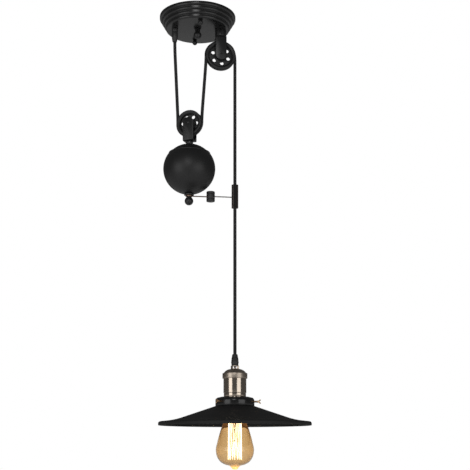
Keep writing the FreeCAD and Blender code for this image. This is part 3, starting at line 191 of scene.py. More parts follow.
def mix_colours(tree, share, *colours):
    node = tree.nodes.new("ShaderNodeMix")
    node.data_type = "RGBA"
    feed(tree, node.inputs["Factor"], share)
    for socket, value in zip((s for s in node.inputs if s.type == "RGBA"), colours):
        feed(tree, socket, value)
    return next(s for s in node.outputs if s.type == "RGBA")


def object_place(tree):
    return tree.nodes.new("ShaderNodeTexCoord").outputs["Object"]


def make_coating_group():
    """Grain of paint or plating: fine grit, broad unevenness of its gloss, and a little of its colour."""
    tree, given, out = group_of(
        "coating grain",
        {"Colour": None, "Worn colour": None, "Grit size": 900.0, "Gloss low": 0.4, "Gloss high": 0.5,
         "Wear": 0.1},
        ("Colour", "Roughness", "Height"))
    place = object_place(tree)
    cloud = noise_node(tree, place, scale=28.0, detail=4.0)
    worn = math_node(tree, "MULTIPLY", cloud, given["Wear"])
    feed(tree, out["Colour"], mix_colours(tree, worn, given["Colour"], given["Worn colour"]))
    feed(tree, out["Roughness"], span_node(tree, cloud, given["Gloss low"], given["Gloss high"]))
    feed(tree, out["Height"], noise_node(tree, place, given["Grit size"], detail=2.0))
    return tree


def make_turned_group():
    """Marks that a lathe leaves round an upright piece: fine rings, and a slight change of tone."""
    tree, given, out = group_of(
        "lathe marks",
        {"Colour": None, "Dark colour": None, "Rings": 2500.0, "Gloss low": 0.15, "Gloss high": 0.3},
        ("Colour", "Roughness", "Height"))
    place = object_place(tree)
    stretch = tree.nodes.new("ShaderNodeMapping")
    feed(tree, stretch.inputs["Vector"], place)
    feed(tree, stretch.inputs["Scale"], (0.02, 0.02, 1.0))
    cloud = noise_node(tree, place, scale=60.0, detail=4.0)
    feed(tree, out["Colour"], mix_colours(tree, cloud, given["Colour"], given["Dark colour"]))
    feed(tree, out["Roughness"], span_node(tree, cloud, given["Gloss low"], given["Gloss high"]))
    feed(tree, out["Height"], noise_node(tree, stretch.outputs["Vector"], given["Rings"], detail=2.0))
    return tree


def make_braid_group():
    """Two sets of strands that cross round a cord, painted lighter on their ridges and darker in their
    valleys as light and shade. Its UV map has turns along it in U and one turn in V.
    """
    tree, given, out = group_of(
        "textile braid", {"Carriers": 12.0, "Pitch": 4.0, "Colour": None, "Lit ridge colour": None},
        ("Colour", "Height"))
    uv = tree.nodes.new("ShaderNodeUVMap")
    uv.uv_map = "cord"
    parts = tree.nodes.new("ShaderNodeSeparateXYZ")
    feed(tree, parts.inputs["Vector"], uv.outputs["UV"])
    along = math_node(tree, "MULTIPLY", parts.outputs["X"], given["Pitch"])
    around = math_node(tree, "MULTIPLY", parts.outputs["Y"], given["Carriers"])
    waves, ridges = [], []
    for operation in ("ADD", "SUBTRACT"):
        turn = math_node(tree, operation, around, along)
        waves.append(math_node(tree, "SINE", math_node(tree, "MULTIPLY", turn, math.pi)))
        ridges.append(math_node(tree, "POWER", math_node(tree, "ABSOLUTE", waves[-1]), 0.6))
    pick = math_node(tree, "GREATER_THAN", waves[0], 0.0)
    first = math_node(tree, "MULTIPLY", ridges[0], pick)
    second = math_node(tree, "MULTIPLY", ridges[1], math_node(tree, "SUBTRACT", 1.0, pick))
    height = math_node(tree, "MAXIMUM", first, second)
    feed(tree, out["Height"], height)
    # Painted light and shade: the colour follows the strands' height, lighter on their tops and darker in the
    # valleys between them.
    feed(tree, out["Colour"], mix_colours(tree, height, given["Colour"], given["Lit ridge colour"]))
    return tree


EFFECTS = {}


# Materials


def shade_of(rgb, factor=1.0):
    return (*(min(1.0, c * factor) for c in rgb), 1.0)


def surface(name, **values):
    """A material with its Principled shader. Values are set on the shader's own sockets."""
    material = bpy.data.materials.new(name)
    material.use_nodes = True
    shader = material.node_tree.nodes["Principled BSDF"]
    for label, value in values.items():
        shader.inputs[label.replace("_", " ")].default_value = value
    return material, material.node_tree, shader


def dress(tree, shader, name, values, relief):
    """Puts a shared effect in a material, with its own values and the depth of its relief in metres."""
    effect = tree.nodes.new("ShaderNodeGroup")
    effect.node_tree = EFFECTS[name]
    for label, value in values.items():
        feed(tree, effect.inputs[label], value)
    feed(tree, shader.inputs["Base Color"], effect.outputs["Colour"])
    if "Roughness" in effect.outputs:
        feed(tree, shader.inputs["Roughness"], effect.outputs["Roughness"])
    bump = tree.nodes.new("ShaderNodeBump")
    feed(tree, bump.inputs["Strength"], 1.0)
    feed(tree, bump.inputs["Distance"], relief)
    feed(tree, bump.inputs["Height"], effect.outputs["Height"])
    feed(tree, shader.inputs["Normal"], bump.outputs["Normal"])


def coated(name, rgb, gloss, grit=1100.0, relief=0.02 * MM, wear=0.3, **values):
    """Painted or moulded finish with grain, for a gloss range (low and high roughness)."""
    material, tree, shader = surface(name, **values)
    dress(tree, shader, "coating", {
        "Colour": shade_of(rgb), "Worn colour": shade_of(rgb, factor=1.7), "Grit size": grit,
        "Gloss low": gloss[0], "Gloss high": gloss[1], "Wear": wear}, relief)
    return material


def turned_metal(name, rgb, dark, gloss, rings=2600.0):
    """Polished metal with lathe marks and darker clouds in its plating."""
    material, tree, shader = surface(name, Metallic=1.0)
    dress(tree, shader, "turned", {
        "Colour": shade_of(rgb), "Dark colour": shade_of(rgb, dark), "Rings": rings, "Gloss low": gloss[0],
        "Gloss high": gloss[1]}, relief=0.006 * MM)
    return material


def textile(name, rgb):
    """Braided sheath of the cord. The braid's pitch makes its strands cross at a slant. Its strands carry
    painted light and shade: lighter on their tops, darker between them.
    """
    material, tree, shader = surface(name, Roughness=0.85, Specular_IOR_Level=0.3, Sheen_Weight=0.1,
                                     Sheen_Roughness=0.4)
    carriers = float(sizes().braid_carriers)
    # Painted shade in the braid's valleys (0.85 of the cord's colour) and a painted highlight on its ridges
    # (1.2).
    dress(tree, shader, "braid", {
        "Carriers": carriers, "Pitch": carriers * 1.25, "Colour": shade_of(rgb, factor=0.85),
        "Lit ridge colour": shade_of(rgb, factor=1.2)}, relief=0.005 * MM)
    return material


def glass(name, rgb):
    return surface(name, Base_Color=shade_of(rgb), Roughness=0.0, Transmission_Weight=1.0, IOR=1.5)[0]


def tinted_glass(name, rgb, glow_from, glow_to, pip_end, pip_top):
    """Lacquered glass. Its tint is deeper at its edges. A painted glow by the neck and in the pip stands in
    for the filament's light scattered in the glass and gathered in the pip.
    """
    material, tree, shader = surface(name, Roughness=0.0, Transmission_Weight=1.0, IOR=1.5,
                                     Emission_Strength=1.0)
    edge = tree.nodes.new("ShaderNodeLayerWeight")
    feed(tree, edge.inputs["Blend"], 0.35)
    place = tree.nodes.new("ShaderNodeSeparateXYZ")
    feed(tree, place.inputs["Vector"], object_place(tree))
    deep = tuple(c ** 2.2 for c in rgb)
    feed(tree, shader.inputs["Base Color"],
         mix_colours(tree, edge.outputs["Facing"], shade_of(rgb), shade_of(deep)))
    neck_glow_share = span_node(tree, place.outputs["Z"], 0.0, 1.0, glow_from, glow_to)
    pip_glow_share = span_node(tree, place.outputs["Z"], 0.0, 1.0, pip_top, pip_end)
    # Painted light: this emission is the filament's light scattered in the glass by the neck and gathered in
    # the pip, painted in.
    painted_glow = mix_colours(tree, neck_glow_share, (0, 0, 0, 1), (0.055, 0.024, 0.008, 1))
    feed(tree, shader.inputs["Emission Color"], mix_colours(tree, pip_glow_share, painted_glow, (0.34, 0.20, 0.06, 1)))
    return material


def glowing(name, rgb, strength):
    """Hot wire, with brighter and darker spots along it."""
    material, tree, shader = surface(name, Base_Color=shade_of(rgb), Roughness=0.6,
                                     Emission_Strength=strength)
    coils = noise_node(tree, object_place(tree), scale=700.0, detail=1.0)
    bright = shade_of((1.0, rgb[1] * 1.12, rgb[2] * 1.3))
    feed(tree, shader.inputs["Emission Color"], mix_colours(tree, coils, shade_of(rgb, factor=0.9), bright))
    return material


# Millimetres above the bulb's lowest point: where the painted glow by the neck starts and is full, and the
# pip's end and top, where a painted glow also sits. Both glows stand in for the filament's light in the
# glass.
PAINTED_GLOW_HEIGHTS = (60, 84, 4, 9)
MATERIALS = {}


def make_materials():
    finish = finishes()
    black, bronze, brass = finish.black, finish.bronze, finish.brass
    bulb_end = extent("bulb_glass").bottom
    heights = [(bulb_end + rise) * MM for rise in PAINTED_GLOW_HEIGHTS]
    EFFECTS.update(coating=make_coating_group(), turned=make_turned_group(), braid=make_braid_group())
    MATERIALS.update(
        canopy_black=coated("canopy satin black", black, (0.20, 0.28)),
        fitting_black=coated("fitting satin black", black, (0.28, 0.42)),
        sheave_black=coated("sheave cast black", black, (0.38, 0.52), grit=700.0, relief=0.05 * MM),
        ball_black=coated("ball matt black", black, (0.40, 0.46), grit=1500.0, Specular_IOR_Level=0.42),
        shade_black=coated("shade matt black", black, (0.55, 0.66), grit=1600.0, Specular_IOR_Level=0.32),
        gallery_black=coated("gallery gloss black", black, (0.16, 0.24), relief=0.01 * MM),
        nylon_black=coated("gland nylon", (0.016, 0.016, 0.016), (0.40, 0.5), grit=500.0),
        clamp_black=coated("clamp black oxide", (0.012, 0.012, 0.012), (0.4, 0.5), grit=600.0),
        sleeve_gunmetal=coated("sleeve gunmetal", (0.05, 0.043, 0.04), (0.3, 0.42), Metallic=0.6),
        cord=textile("cord textile", finish.cord),
        holder_bronze=turned_metal("holder antique bronze", bronze, 0.72, (0.10, 0.17)),
        knurl_bronze=turned_metal("knurled antique bronze", bronze, 0.55, (0.3, 0.42)),
        wing_brass=turned_metal("thumbscrew brass", brass, 0.75, (0.2, 0.32)),
        cap_brass=turned_metal("bulb cap brass", (0.80, 0.66, 0.42), 0.8, (0.22, 0.34)),
        arm_bronze=turned_metal("arm bronze", (0.23, 0.16, 0.12), 0.7, (0.25, 0.35)),
        arm_nickel=turned_metal("arm nickel", (0.42, 0.40, 0.38), 0.8, (0.22, 0.32)),
        zinc=turned_metal("zinc plate", (0.62, 0.63, 0.62), 0.8, (0.3, 0.45), rings=400.0),
        iron=coated("raw iron", (0.1, 0.095, 0.09), (0.6, 0.75), grit=260.0, relief=0.15 * MM, Metallic=0.7),
        porcelain=coated("porcelain", (0.82, 0.80, 0.75), (0.35, 0.5), grit=900.0, wear=0.2),
        block_plastic=coated("terminal block plastic", (0.78, 0.78, 0.74), (0.4, 0.5), wear=0.1),
        core_brown=coated("core insulation", (0.12, 0.055, 0.03), (0.4, 0.5), wear=0.2),
        insulator=coated("cap insulator", (0.02, 0.02, 0.02), (0.15, 0.25)),
        amber_glass=tinted_glass("amber glass", finish.amber, *heights),
        stem_glass=glass("stem glass", (0.97, 0.95, 0.9)),
        filament=glowing("filament glow", finish.glow, finish.filament_light),
    )


NODE_FINISHES = {
    "zinc": ["ceiling_crossbar", "canopy_screws", "canopy_nuts", "upper_washers", "lower_washers", "rod_nut",
             "tie_rod"],
    "cap_brass": ["earth_screw", "terminal_screws", "socket_contacts", "bulb_cap"],
    "block_plastic": ["terminal_block"],
    "core_brown": ["supply_cores", "lamp_cores"],
    "fitting_black": ["hanger_bolt"],
    "gallery_black": ["ring_nut"],
    "iron": ["ballast"],
    "arm_nickel": ["clamp_screws"],
    "holder_bronze": ["nipple"],
    "porcelain": ["porcelain_insert"],
    "insulator": ["bulb_insulator"],
}


# Modelling


def arc(centre, sweep, steps):
    """A stretch of a profile: round a centre by a sweep in degrees, positive from below to the right."""
    return ("arc", centre, sweep, steps)


def bevel(bm, geom, rounding, segments, affect):
    bmesh.ops.bevel(bm, geom=geom, offset=rounding * MM, offset_type="OFFSET", segments=segments,
                    profile=0.5, affect=affect, clamp_overlap=True, material=-1)


def weld(bm, distance=1e-7):
    bmesh.ops.remove_doubles(bm, verts=bm.verts, dist=distance)


def outward(bm):
    """Turns the normals of the faces to the outside."""
    bmesh.ops.recalc_face_normals(bm, faces=bm.faces)
    return bm


def verts_of(geom):
    return [e for e in geom if isinstance(e, bmesh.types.BMVert)]


def spun(bm, geom, angle, steps, **options):
    """Sweeps a shape's faces or edges about the upright axis through the origin."""
    return bmesh.ops.spin(bm, geom=geom, cent=(0, 0, 0), axis=(0, 0, 1), angle=angle, steps=steps, **options)


def turned(profile, faces=SMALL_ROUND, closed=True, at=(0.0, 0.0)):
    """Spins a profile about an upright axis. A step of the profile is (radius, z) in millimetres, with a
    rounding and its count of segments after them where the corner is round, or an arc from the last point."""
    bm = bmesh.new()
    path, rounded = [], []
    for step in profile:
        if step[0] == "arc":
            _, (radius, z), sweep, steps = step
            turn = bmesh.ops.spin(bm, geom=[path[-1]], cent=(radius * MM, 0, z * MM), axis=(0, 1, 0),
                                  angle=math.radians(-sweep), steps=steps)
            path.append(verts_of(turn["geom_last"])[0])
            continue
        corner = bm.verts.new((step[0] * MM, 0, step[1] * MM))
        if path:
            bm.edges.new((path[-1], corner))
        path.append(corner)
        if len(step) > 2:
            rounded.append((corner, step[2], step[3] if len(step) > 3 else 4))
    if closed:
        bm.edges.new((path[-1], path[0]))
    for corner, rounding, segments in rounded:
        bevel(bm, [corner], rounding, segments, "VERTICES")
    weld(bm)
    spun(bm, bm.verts[:] + bm.edges[:], math.tau, faces, use_merge=True)
    weld(bm)
    on_axis = [e for e in bm.edges if all(math.hypot(v.co.x, v.co.y) < 1e-7 for v in e.verts)]
    bmesh.ops.delete(bm, geom=on_axis, context="EDGES")
    return moved(outward(bm), shift(*at, 0))


def ring(bore, radius, top, bottom, roundings, **options):
    """A collar or washer, with the roundings of its upper and lower outer edges."""
    upper, lower = roundings
    return turned([(bore, top), (radius, top, *upper), (radius, bottom, *lower), (bore, bottom)], **options)


def mirrored(half):
    """A profile from its upper half, or its lower one, with the other half after it."""
    return half + [(radius, -z, *rounding) for radius, z, *rounding in reversed(half)]


def swept(corners, start, sweep, steps):
    """Turns a closed profile (radius, z) in millimetres through a part of a circle, from a start angle."""
    bm = bmesh.new()
    face = bm.faces.new([bm.verts.new((radius * MM, 0, z * MM)) for radius, z in corners])
    bmesh.ops.rotate(bm, verts=bm.verts, cent=(0, 0, 0), matrix=Matrix.Rotation(start, 3, "Z"))
    spun(bm, [face, *face.edges, *face.verts], sweep, steps)
    return outward(bm)


def moved(bm, matrix):
    bmesh.ops.transform(bm, matrix=matrix, verts=bm.verts)
    return bm


def shift(x, y, z):
    return Matrix.Translation((x * MM, y * MM, z * MM))


def towards(direction):
    """The turn that brings Z to a direction."""
    return direction.to_track_quat("Z", "Y").to_matrix().to_4x4()


def bar(radius, start, end, faces=24, rounding=0.2):
    """A round bar between two points in millimetres, with softened ends."""
    start, end = Vector(start) * MM, Vector(end) * MM
    bm = bmesh.new()
    bmesh.ops.create_cone(bm, cap_ends=True, segments=faces, radius1=radius * MM, radius2=radius * MM,
                          depth=(end - start).length)
    soften(bm, rounding)
    return moved(bm, Matrix.Translation((start + end) / 2) @ towards(end - start))


def soften(bm, rounding, segments=2, angle=30.0):
    """Rounds the edges where two faces meet at more than an angle."""
    edges = [e for e in bm.edges if e.is_manifold and e.calc_face_angle(0) > math.radians(angle)]
    bevel(bm, edges, rounding, segments, "EDGES")
    return bm


def joined(*parts):
    """Several shapes in one."""
    whole = bmesh.new()
    for part in parts:
        held = bpy.data.meshes.new("held")
        part.to_mesh(held)
        part.free()
        whole.from_mesh(held)
        bpy.data.meshes.remove(held)
    return whole


def curve_shape(curve):
    """The shape that Blender makes of a curve. The curve itself is removed."""
    holder = bpy.data.objects.new("holder", curve)
    mesh = bpy.data.meshes.new_from_object(holder)
    shape = bmesh.new()
    shape.from_mesh(mesh)
    bpy.data.objects.remove(holder)
    bpy.data.curves.remove(curve)
    bpy.data.meshes.remove(mesh)
    return shape


def new_curve(dimensions, detail):
    curve = bpy.data.curves.new("curve", "CURVE")
    curve.dimensions, curve.resolution_u = dimensions, detail
    return curve


def linked(name, data):
    """A new object of the scene, at the origin."""
    made = bpy.data.objects.new(name, data)
    bpy.context.scene.collection.objects.link(made)
    return made


def object_of(name, bm, material):
    mesh = bpy.data.meshes.new(name)
    bm.to_mesh(mesh)
    bm.free()
    mesh.materials.append(material)
    return linked(name, mesh)


def piece(name, bm, material, body, *nodes, slot=None, sharp=38.0):
    """A finished object: smooth but for its sharp edges, riding a body, in place of CAD nodes. The slot
    argument is not used."""
    for face in bm.faces:
        face.smooth = True
    for edge in bm.edges:
        edge.smooth = not edge.is_manifold or edge.calc_face_angle(0) < math.radians(sharp)
    made = object_of(name, bm, MATERIALS[material])
    if body:
        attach(made, body)
    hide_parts(*nodes)
    return made


def along_y(bm):
    """Turns a shape made about Z so that its axis lies along Y."""
    return moved(bm, Matrix.Rotation(math.radians(90), 4, "X"))


# Cord


def route_line():
    """The cord's centre line, read from one smooth spline through its route."""
    curve = new_curve("3D", detail=24)
    spline = curve.splines.new("NURBS")
    spline.points.add(len(CORD_ROUTE) - 1)
    for point, place in zip(spline.points, CORD_ROUTE):
        point.co = (*place, 1.0)
    spline.order_u = 3
    spline.use_endpoint_u = True
    shape = curve_shape(curve)
    points = [v.co.copy() for v in shape.verts]
    shape.free()
    return points


def even(points, step):
    """The line again, with points about a step apart."""
    kept = [points[0]]
    for point in points[1:-1]:
        if (point - kept[-1]).length >= step:
            kept.append(point)
    return kept + [points[-1]]


def tube(points, radius, sides=24):
    """A round tube along points: one ring drawn out from point to point, with the cord's UV map."""
    bm = bmesh.new()
    uv = bm.loops.layers.uv.new("cord")
    first = bmesh.ops.create_circle(bm, segments=sides, radius=radius)["verts"]
    heading = (points[1] - points[0]).normalized()
    bmesh.ops.transform(bm, verts=first, matrix=Matrix.Translation(points[0]) @ towards(heading))
    bmesh.ops.contextual_create(bm, geom=first)
    edges = bm.edges[:]
    place = {v: i for i, v in enumerate(first)}
    reached = 0.0
    for i in range(1, len(points)):
        drawn = bmesh.ops.extrude_edge_only(bm, edges=edges)["geom"]
        new = verts_of(drawn)
        ahead = (points[min(i + 1, len(points) - 1)] - points[i - 1]).normalized()
        turn = Matrix.Translation(points[i]) @ heading.rotation_difference(ahead).to_matrix().to_4x4()
        bmesh.ops.transform(bm, verts=new, matrix=turn @ Matrix.Translation(-points[i - 1]))
        length = (points[i] - points[i - 1]).length / (math.tau * radius)
        for vert in new:
            before = next(e.other_vert(vert) for e in vert.link_edges if e.other_vert(vert) in place)
            place[vert] = place[before]
        for face in (e for e in drawn if isinstance(e, bmesh.types.BMFace)):
            columns = {place[v] for v in face.verts}
            wraps = max(columns) - min(columns) > 1
            for loop in face.loops:
                column = place[loop.vert]
                across = (sides if wraps and column == 0 else column) / sides
                loop[uv].uv = (reached + (length if loop.vert in new else 0.0), across)
        place = {v: place[v] for v in new}
        edges = [e for e in drawn if isinstance(e, bmesh.types.BMEdge) and all(v in place for v in e.verts)]
        reached += length
        heading = ahead
    bmesh.ops.contextual_create(bm, geom=list(place))
    return outward(bm)


def cord_stretch(name, points, nodes):
    """One stretch of the cord, between the two bodies that it joins."""
    radius = sizes().cord_diameter / 2
    points = even(points, step=radius * 0.45)
    made = piece(name, tube(points, radius), "cord", None, *nodes, slot="cord_textile", sharp=60.0)
    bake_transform(made)


class PENDANT_OT_cord(bpy.types.Operator):
    """The textile cord, from the canopy round both sheaves to the lamp"""

    bl_idname = "pendant.cord"
    bl_label = "Cord"

    def execute(self, context):
        line = route_line()
        upper_axle = extent("upper_sheave").x * MM
        under = min((i for i, p in enumerate(line) if p.x < upper_axle), key=lambda i: line[i].z)
        over = max(range(under, len(line)), key=lambda i: line[i].z)
        grip_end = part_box("cord_lamp_tail")[0].z
        runs = ("cord_supply_tail", "cord_middle_run", "cord_lamp_run")
        left, right, lamp = (extent(run).x * MM for run in runs)
        # The stretches meet under the lower sheave and over the upper one.
        low = (extent("lower_sheave").z - GROOVE_SHARE * LOWER_TURN) * MM
        high = (extent("upper_sheave").z + GROOVE_SHARE * UPPER_TURN) * MM
        cord_stretch("cord_to_counterweight", line[:under + 1],
                     ("cord_supply_tail", "cord_fixed_run", "cord_lower_loop"))
        cord_stretch("cord_over_sheave", line[under:over + 1],
                     ("cord_middle_run", "cord_upper_loop"))
        hanging = [p for p in line[over:] if p.z > grip_end] + [Vector((lamp, 0, grip_end))]
        filled = []
        for above, below in zip(hanging, hanging[1:]):
            count = max(1, round((above - below).length / (2 * MM)))
            filled += [above.lerp(below, k / count) for k in range(count)]
        cord_stretch("cord_to_lamp", filled + hanging[-1:],
                     ("cord_lamp_run", "cord_lamp_tail"))
        return {"FINISHED"}


# Canopy and what hangs from it


class PENDANT_OT_canopy(bpy.types.Operator):
    """The stepped canopy"""

    bl_idname = "pendant.canopy"
    bl_label = "Canopy"

    def execute(self, context):
        box = extent("canopy")
        steps, tread, wall, bend = 4, 3.75, 1.0, 3.5
        rise = (box.top - box.bottom) / steps
        outside, inside = [(0, box.bottom)], [(0, box.bottom + wall)]
        for i in range(steps):
            radius, low = box.radius - tread * (steps - 1 - i), box.bottom + rise * i
            outside += [(radius, low, bend, 8), (radius, low + rise, 0.7, 4)]
            inside += [(radius - 1.6 * wall - tread * 0.6, low + wall), (radius - wall, low + wall + tread)]
        outside[-1] = (box.radius, box.top)
        profile = outside + [(box.radius - wall, box.top)] + inside[::-1]
        piece("canopy_shell", turned(profile, faces=BALL_ROUND), "canopy_black", "canopy", "canopy")
        return {"FINISHED"}


ROD_BORE = 3.05  # radius of the holes for the threaded rod and the hanger bolt
KNOB_NECK = 4.6
KNOB_STUD = 3.0
BALL_NUT_RADIUS = 4.5
BALL_NUT_NECK = 3.35


def knob(box, neck, stem=None):
    """A ball knob with a neck. A stem (radius, z of its start) can lead on from the neck."""
    centre = box.bottom + box.radius
    rise = math.degrees(math.acos(neck / box.radius))
    neck_top = stem[1] if stem else box.top
    profile = [(0, box.bottom), arc((0, centre), 90 + rise, steps=20), (neck, neck_top, 0.2, 2)]
    if stem:
        profile += [stem, (stem[0], box.top, 0.3, 2)]
    return turned(profile + [(0, box.top)], at=(box.x, 0))


class PENDANT_OT_canopy_fittings(bpy.types.Operator):
    """Knobs, cord gland and collar under the canopy"""

    bl_idname = "pendant.canopy_fittings"
    bl_label = "Canopy fittings"

    def execute(self, context):
        plate = extent("canopy").bottom
        centre = knob(extent("centre_knob"), KNOB_NECK, (KNOB_STUD, plate))
        piece("centre_knob_ball", centre, "fitting_black", "canopy", "centre_knob")
        nuts = extent("ball_nuts")
        ball = SimpleNamespace(**vars(nuts))
        ball.radius = BALL_NUT_RADIUS
        places = (nuts.front + ball.radius, nuts.back - ball.radius)
        shapes = [moved(knob(ball, BALL_NUT_NECK), shift(0, y, 0)) for y in places]
        piece("canopy_ball_nuts", joined(*shapes), "fitting_black", "canopy", "ball_nuts")

        gland = extent("gland_body")
        side, waist, tip = gland.radius, gland.radius - 0.5, gland.bottom
        bore, thread = 2.92, 4.9
        neck_top, neck_low, taper = plate - 5.4, plate - 6.2, plate - 14.5
        profile = [(bore, gland.top), (thread, gland.top, 0.3, 2), (thread, plate), (side, plate),
                   (side, neck_top, 0.3, 2), (waist, neck_top), (waist, neck_low), (side, neck_low, 0.3, 2),
                   (side, taper, 1.2, 4), (4.2, tip + 0.9, 0.5, 3), (3.75, tip, 0.3, 2), (bore, tip)]
        piece("cord_gland", turned(profile, at=(gland.x, 0)), "nylon_black", "canopy", "gland_body")

        collar = extent("upper_collar")
        shape = ring(ROD_BORE, collar.radius, collar.top, collar.bottom, ((), (0.9, 4)), faces=64,
                     at=(collar.x, 0))
        piece("sheave_collar", shape, "fitting_black", "canopy", "upper_collar")
        return {"FINISHED"}


# Sheaves and their forks


FORK_HEADING = -28.0  # how far the lower sheave is turned from the upper one, in degrees
WEB_HOLES = 6
WEB_HOLE_RADIUS = 3.55
UPPER_HOLES = (15.0, 39.0)  # radius of the circle of holes, and the first one's angle
LOWER_HOLES = (12.9, 57.0)
QUARTER_HANDLE = 0.5523  # a Bezier handle's length for a quarter of a circle, as a share of its radius


def web_shape(circles, half):
    """A flat web, with a softened edge: what lies inside the first circle and outside the others."""
    curve = new_curve("2D", detail=16)
    curve.fill_mode = "BOTH"
    softening = 0.3
    curve.extrude, curve.bevel_depth = (half - softening) * MM, softening * MM
    curve.bevel_resolution = 2
    for x, y, radius in circles:
        spline = curve.splines.new("BEZIER")
        spline.bezier_points.add(3)
        spline.use_cyclic_u = True
        for k, point in enumerate(spline.bezier_points):
            direction = Vector((math.cos(k * math.pi / 2), math.sin(k * math.pi / 2), 0))
            side = Vector((-direction.y, direction.x, 0)) * QUARTER_HANDLE * radius
            point.co = (Vector((x, y, 0)) + direction * radius) * MM
            point.handle_left = point.co - side * MM
            point.handle_right = point.co + side * MM
    plate = curve_shape(curve)
    weld(plate, distance=1e-6)
    return plate


def sheave_shape(box, turn_radius, hole_circle, hole_angle):
    """A sheave about Y through the origin: grooved rim, web with round holes, and hub."""
    half, web, hub, bore = 6.0, 1.3, 6.4, 2.56
    outer, groove = box.top - box.z, turn_radius - 3.2
    rim = groove - 2.4
    profile = mirrored([(rim, web), (rim, half - 2.0, 0.5), (outer - 3.2, half, 0.6), (outer, half, 0.7),
                        (outer, 4.3, 0.4), (groove, 3.2, 3.0, 8)])
    circles = [(0, 0, rim), (0, 0, hub)]
    for i in range(WEB_HOLES):
        angle = math.radians(hole_angle + 360 / WEB_HOLES * i)
        circles.append((hole_circle * math.cos(angle), hole_circle * math.sin(angle), WEB_HOLE_RADIUS))
    return along_y(joined(turned(profile, faces=ROUND), ring(bore, hub, half, -half, ((0.5,), (0.5,))),
                          web_shape(circles, web)))


def strap_fork(height):
    """A fork about the axle at the origin: a flat strap bent to a U, its base this high, its ends round."""
    width, thick, outside, bend = 20.0, 2.0, 9.0, 2.6
    bm = bmesh.new()
    corners = [(-outside, -width / 2), (-outside, height), (outside, height), (outside, -width / 2)]
    path = [bm.verts.new((-width / 2 * MM, y * MM, z * MM)) for y, z in corners]
    for a, b in zip(path, path[1:]):
        bm.edges.new((a, b))
    for corner in path[1:3]:
        bevel(bm, [corner], bend, 5, "VERTICES")
    drawn = bmesh.ops.extrude_edge_only(bm, edges=bm.edges[:])["geom"]
    bmesh.ops.translate(bm, vec=(width * MM, 0, 0), verts=verts_of(drawn))
    low = min(v.co.z for v in bm.verts)
    bevel(bm, [v for v in bm.verts if v.co.z < low + 1e-6], width / 2 - 0.02, 12, "VERTICES")
    outward(bm)
    if sum(f.normal.z * (f.calc_center_median().z - height * MM / 2) for f in bm.faces) < 0:
        bmesh.ops.reverse_faces(bm, faces=bm.faces)
    bmesh.ops.solidify(bm, geom=bm.faces[:], thickness=thick * MM)
    return soften(outward(bm), rounding=0.35, angle=50.0)


def axle_shape():
    """A pin along Y with low domed ends."""
    radius, half, tip = 2.5, 9.5, 1.9
    profile = mirrored([(0, -half), (tip, -half, 0.4, 3), (radius, 0.5 - half, 0.2, 2)])
    return along_y(turned(profile, faces=32))


def tackle(end, body, wheel, strap, place):
    """A sheave, its fork and its axle, made about the origin and moved to their place."""
    piece(f"{end}_sheave_wheel", moved(wheel, place), "sheave_black", f"{end}_sheave", f"{end}_sheave")
    piece(f"{end}_fork_strap", moved(strap, place), "fitting_black", body, f"{end}_fork")
    piece(f"{end}_axle_pin", moved(axle_shape(), place), "fitting_black", body, f"{end}_axle")


class PENDANT_OT_sheaves(bpy.types.Operator):
    """Both sheaves, with their forks and axles"""

    bl_idname = "pendant.sheaves"
    bl_label = "Sheaves and forks"

    def execute(self, context):
        upper, lower = extent("upper_sheave"), extent("lower_sheave")
        tackle("upper", "canopy", sheave_shape(upper, UPPER_TURN, *UPPER_HOLES),
               strap_fork(extent("upper_fork").top - upper.z), shift(upper.x, 0, upper.z))
        hanging = moved(strap_fork(lower.z - extent("lower_fork").bottom), Matrix.Rotation(math.pi, 4, "Y"))
        tackle("lower", "counterweight", sheave_shape(lower, LOWER_TURN, *LOWER_HOLES), hanging,
               shift(lower.x, 0, lower.z) @ Matrix.Rotation(math.radians(FORK_HEADING), 4, "Z"))
        return {"FINISHED"}


# Counterweight and its arm


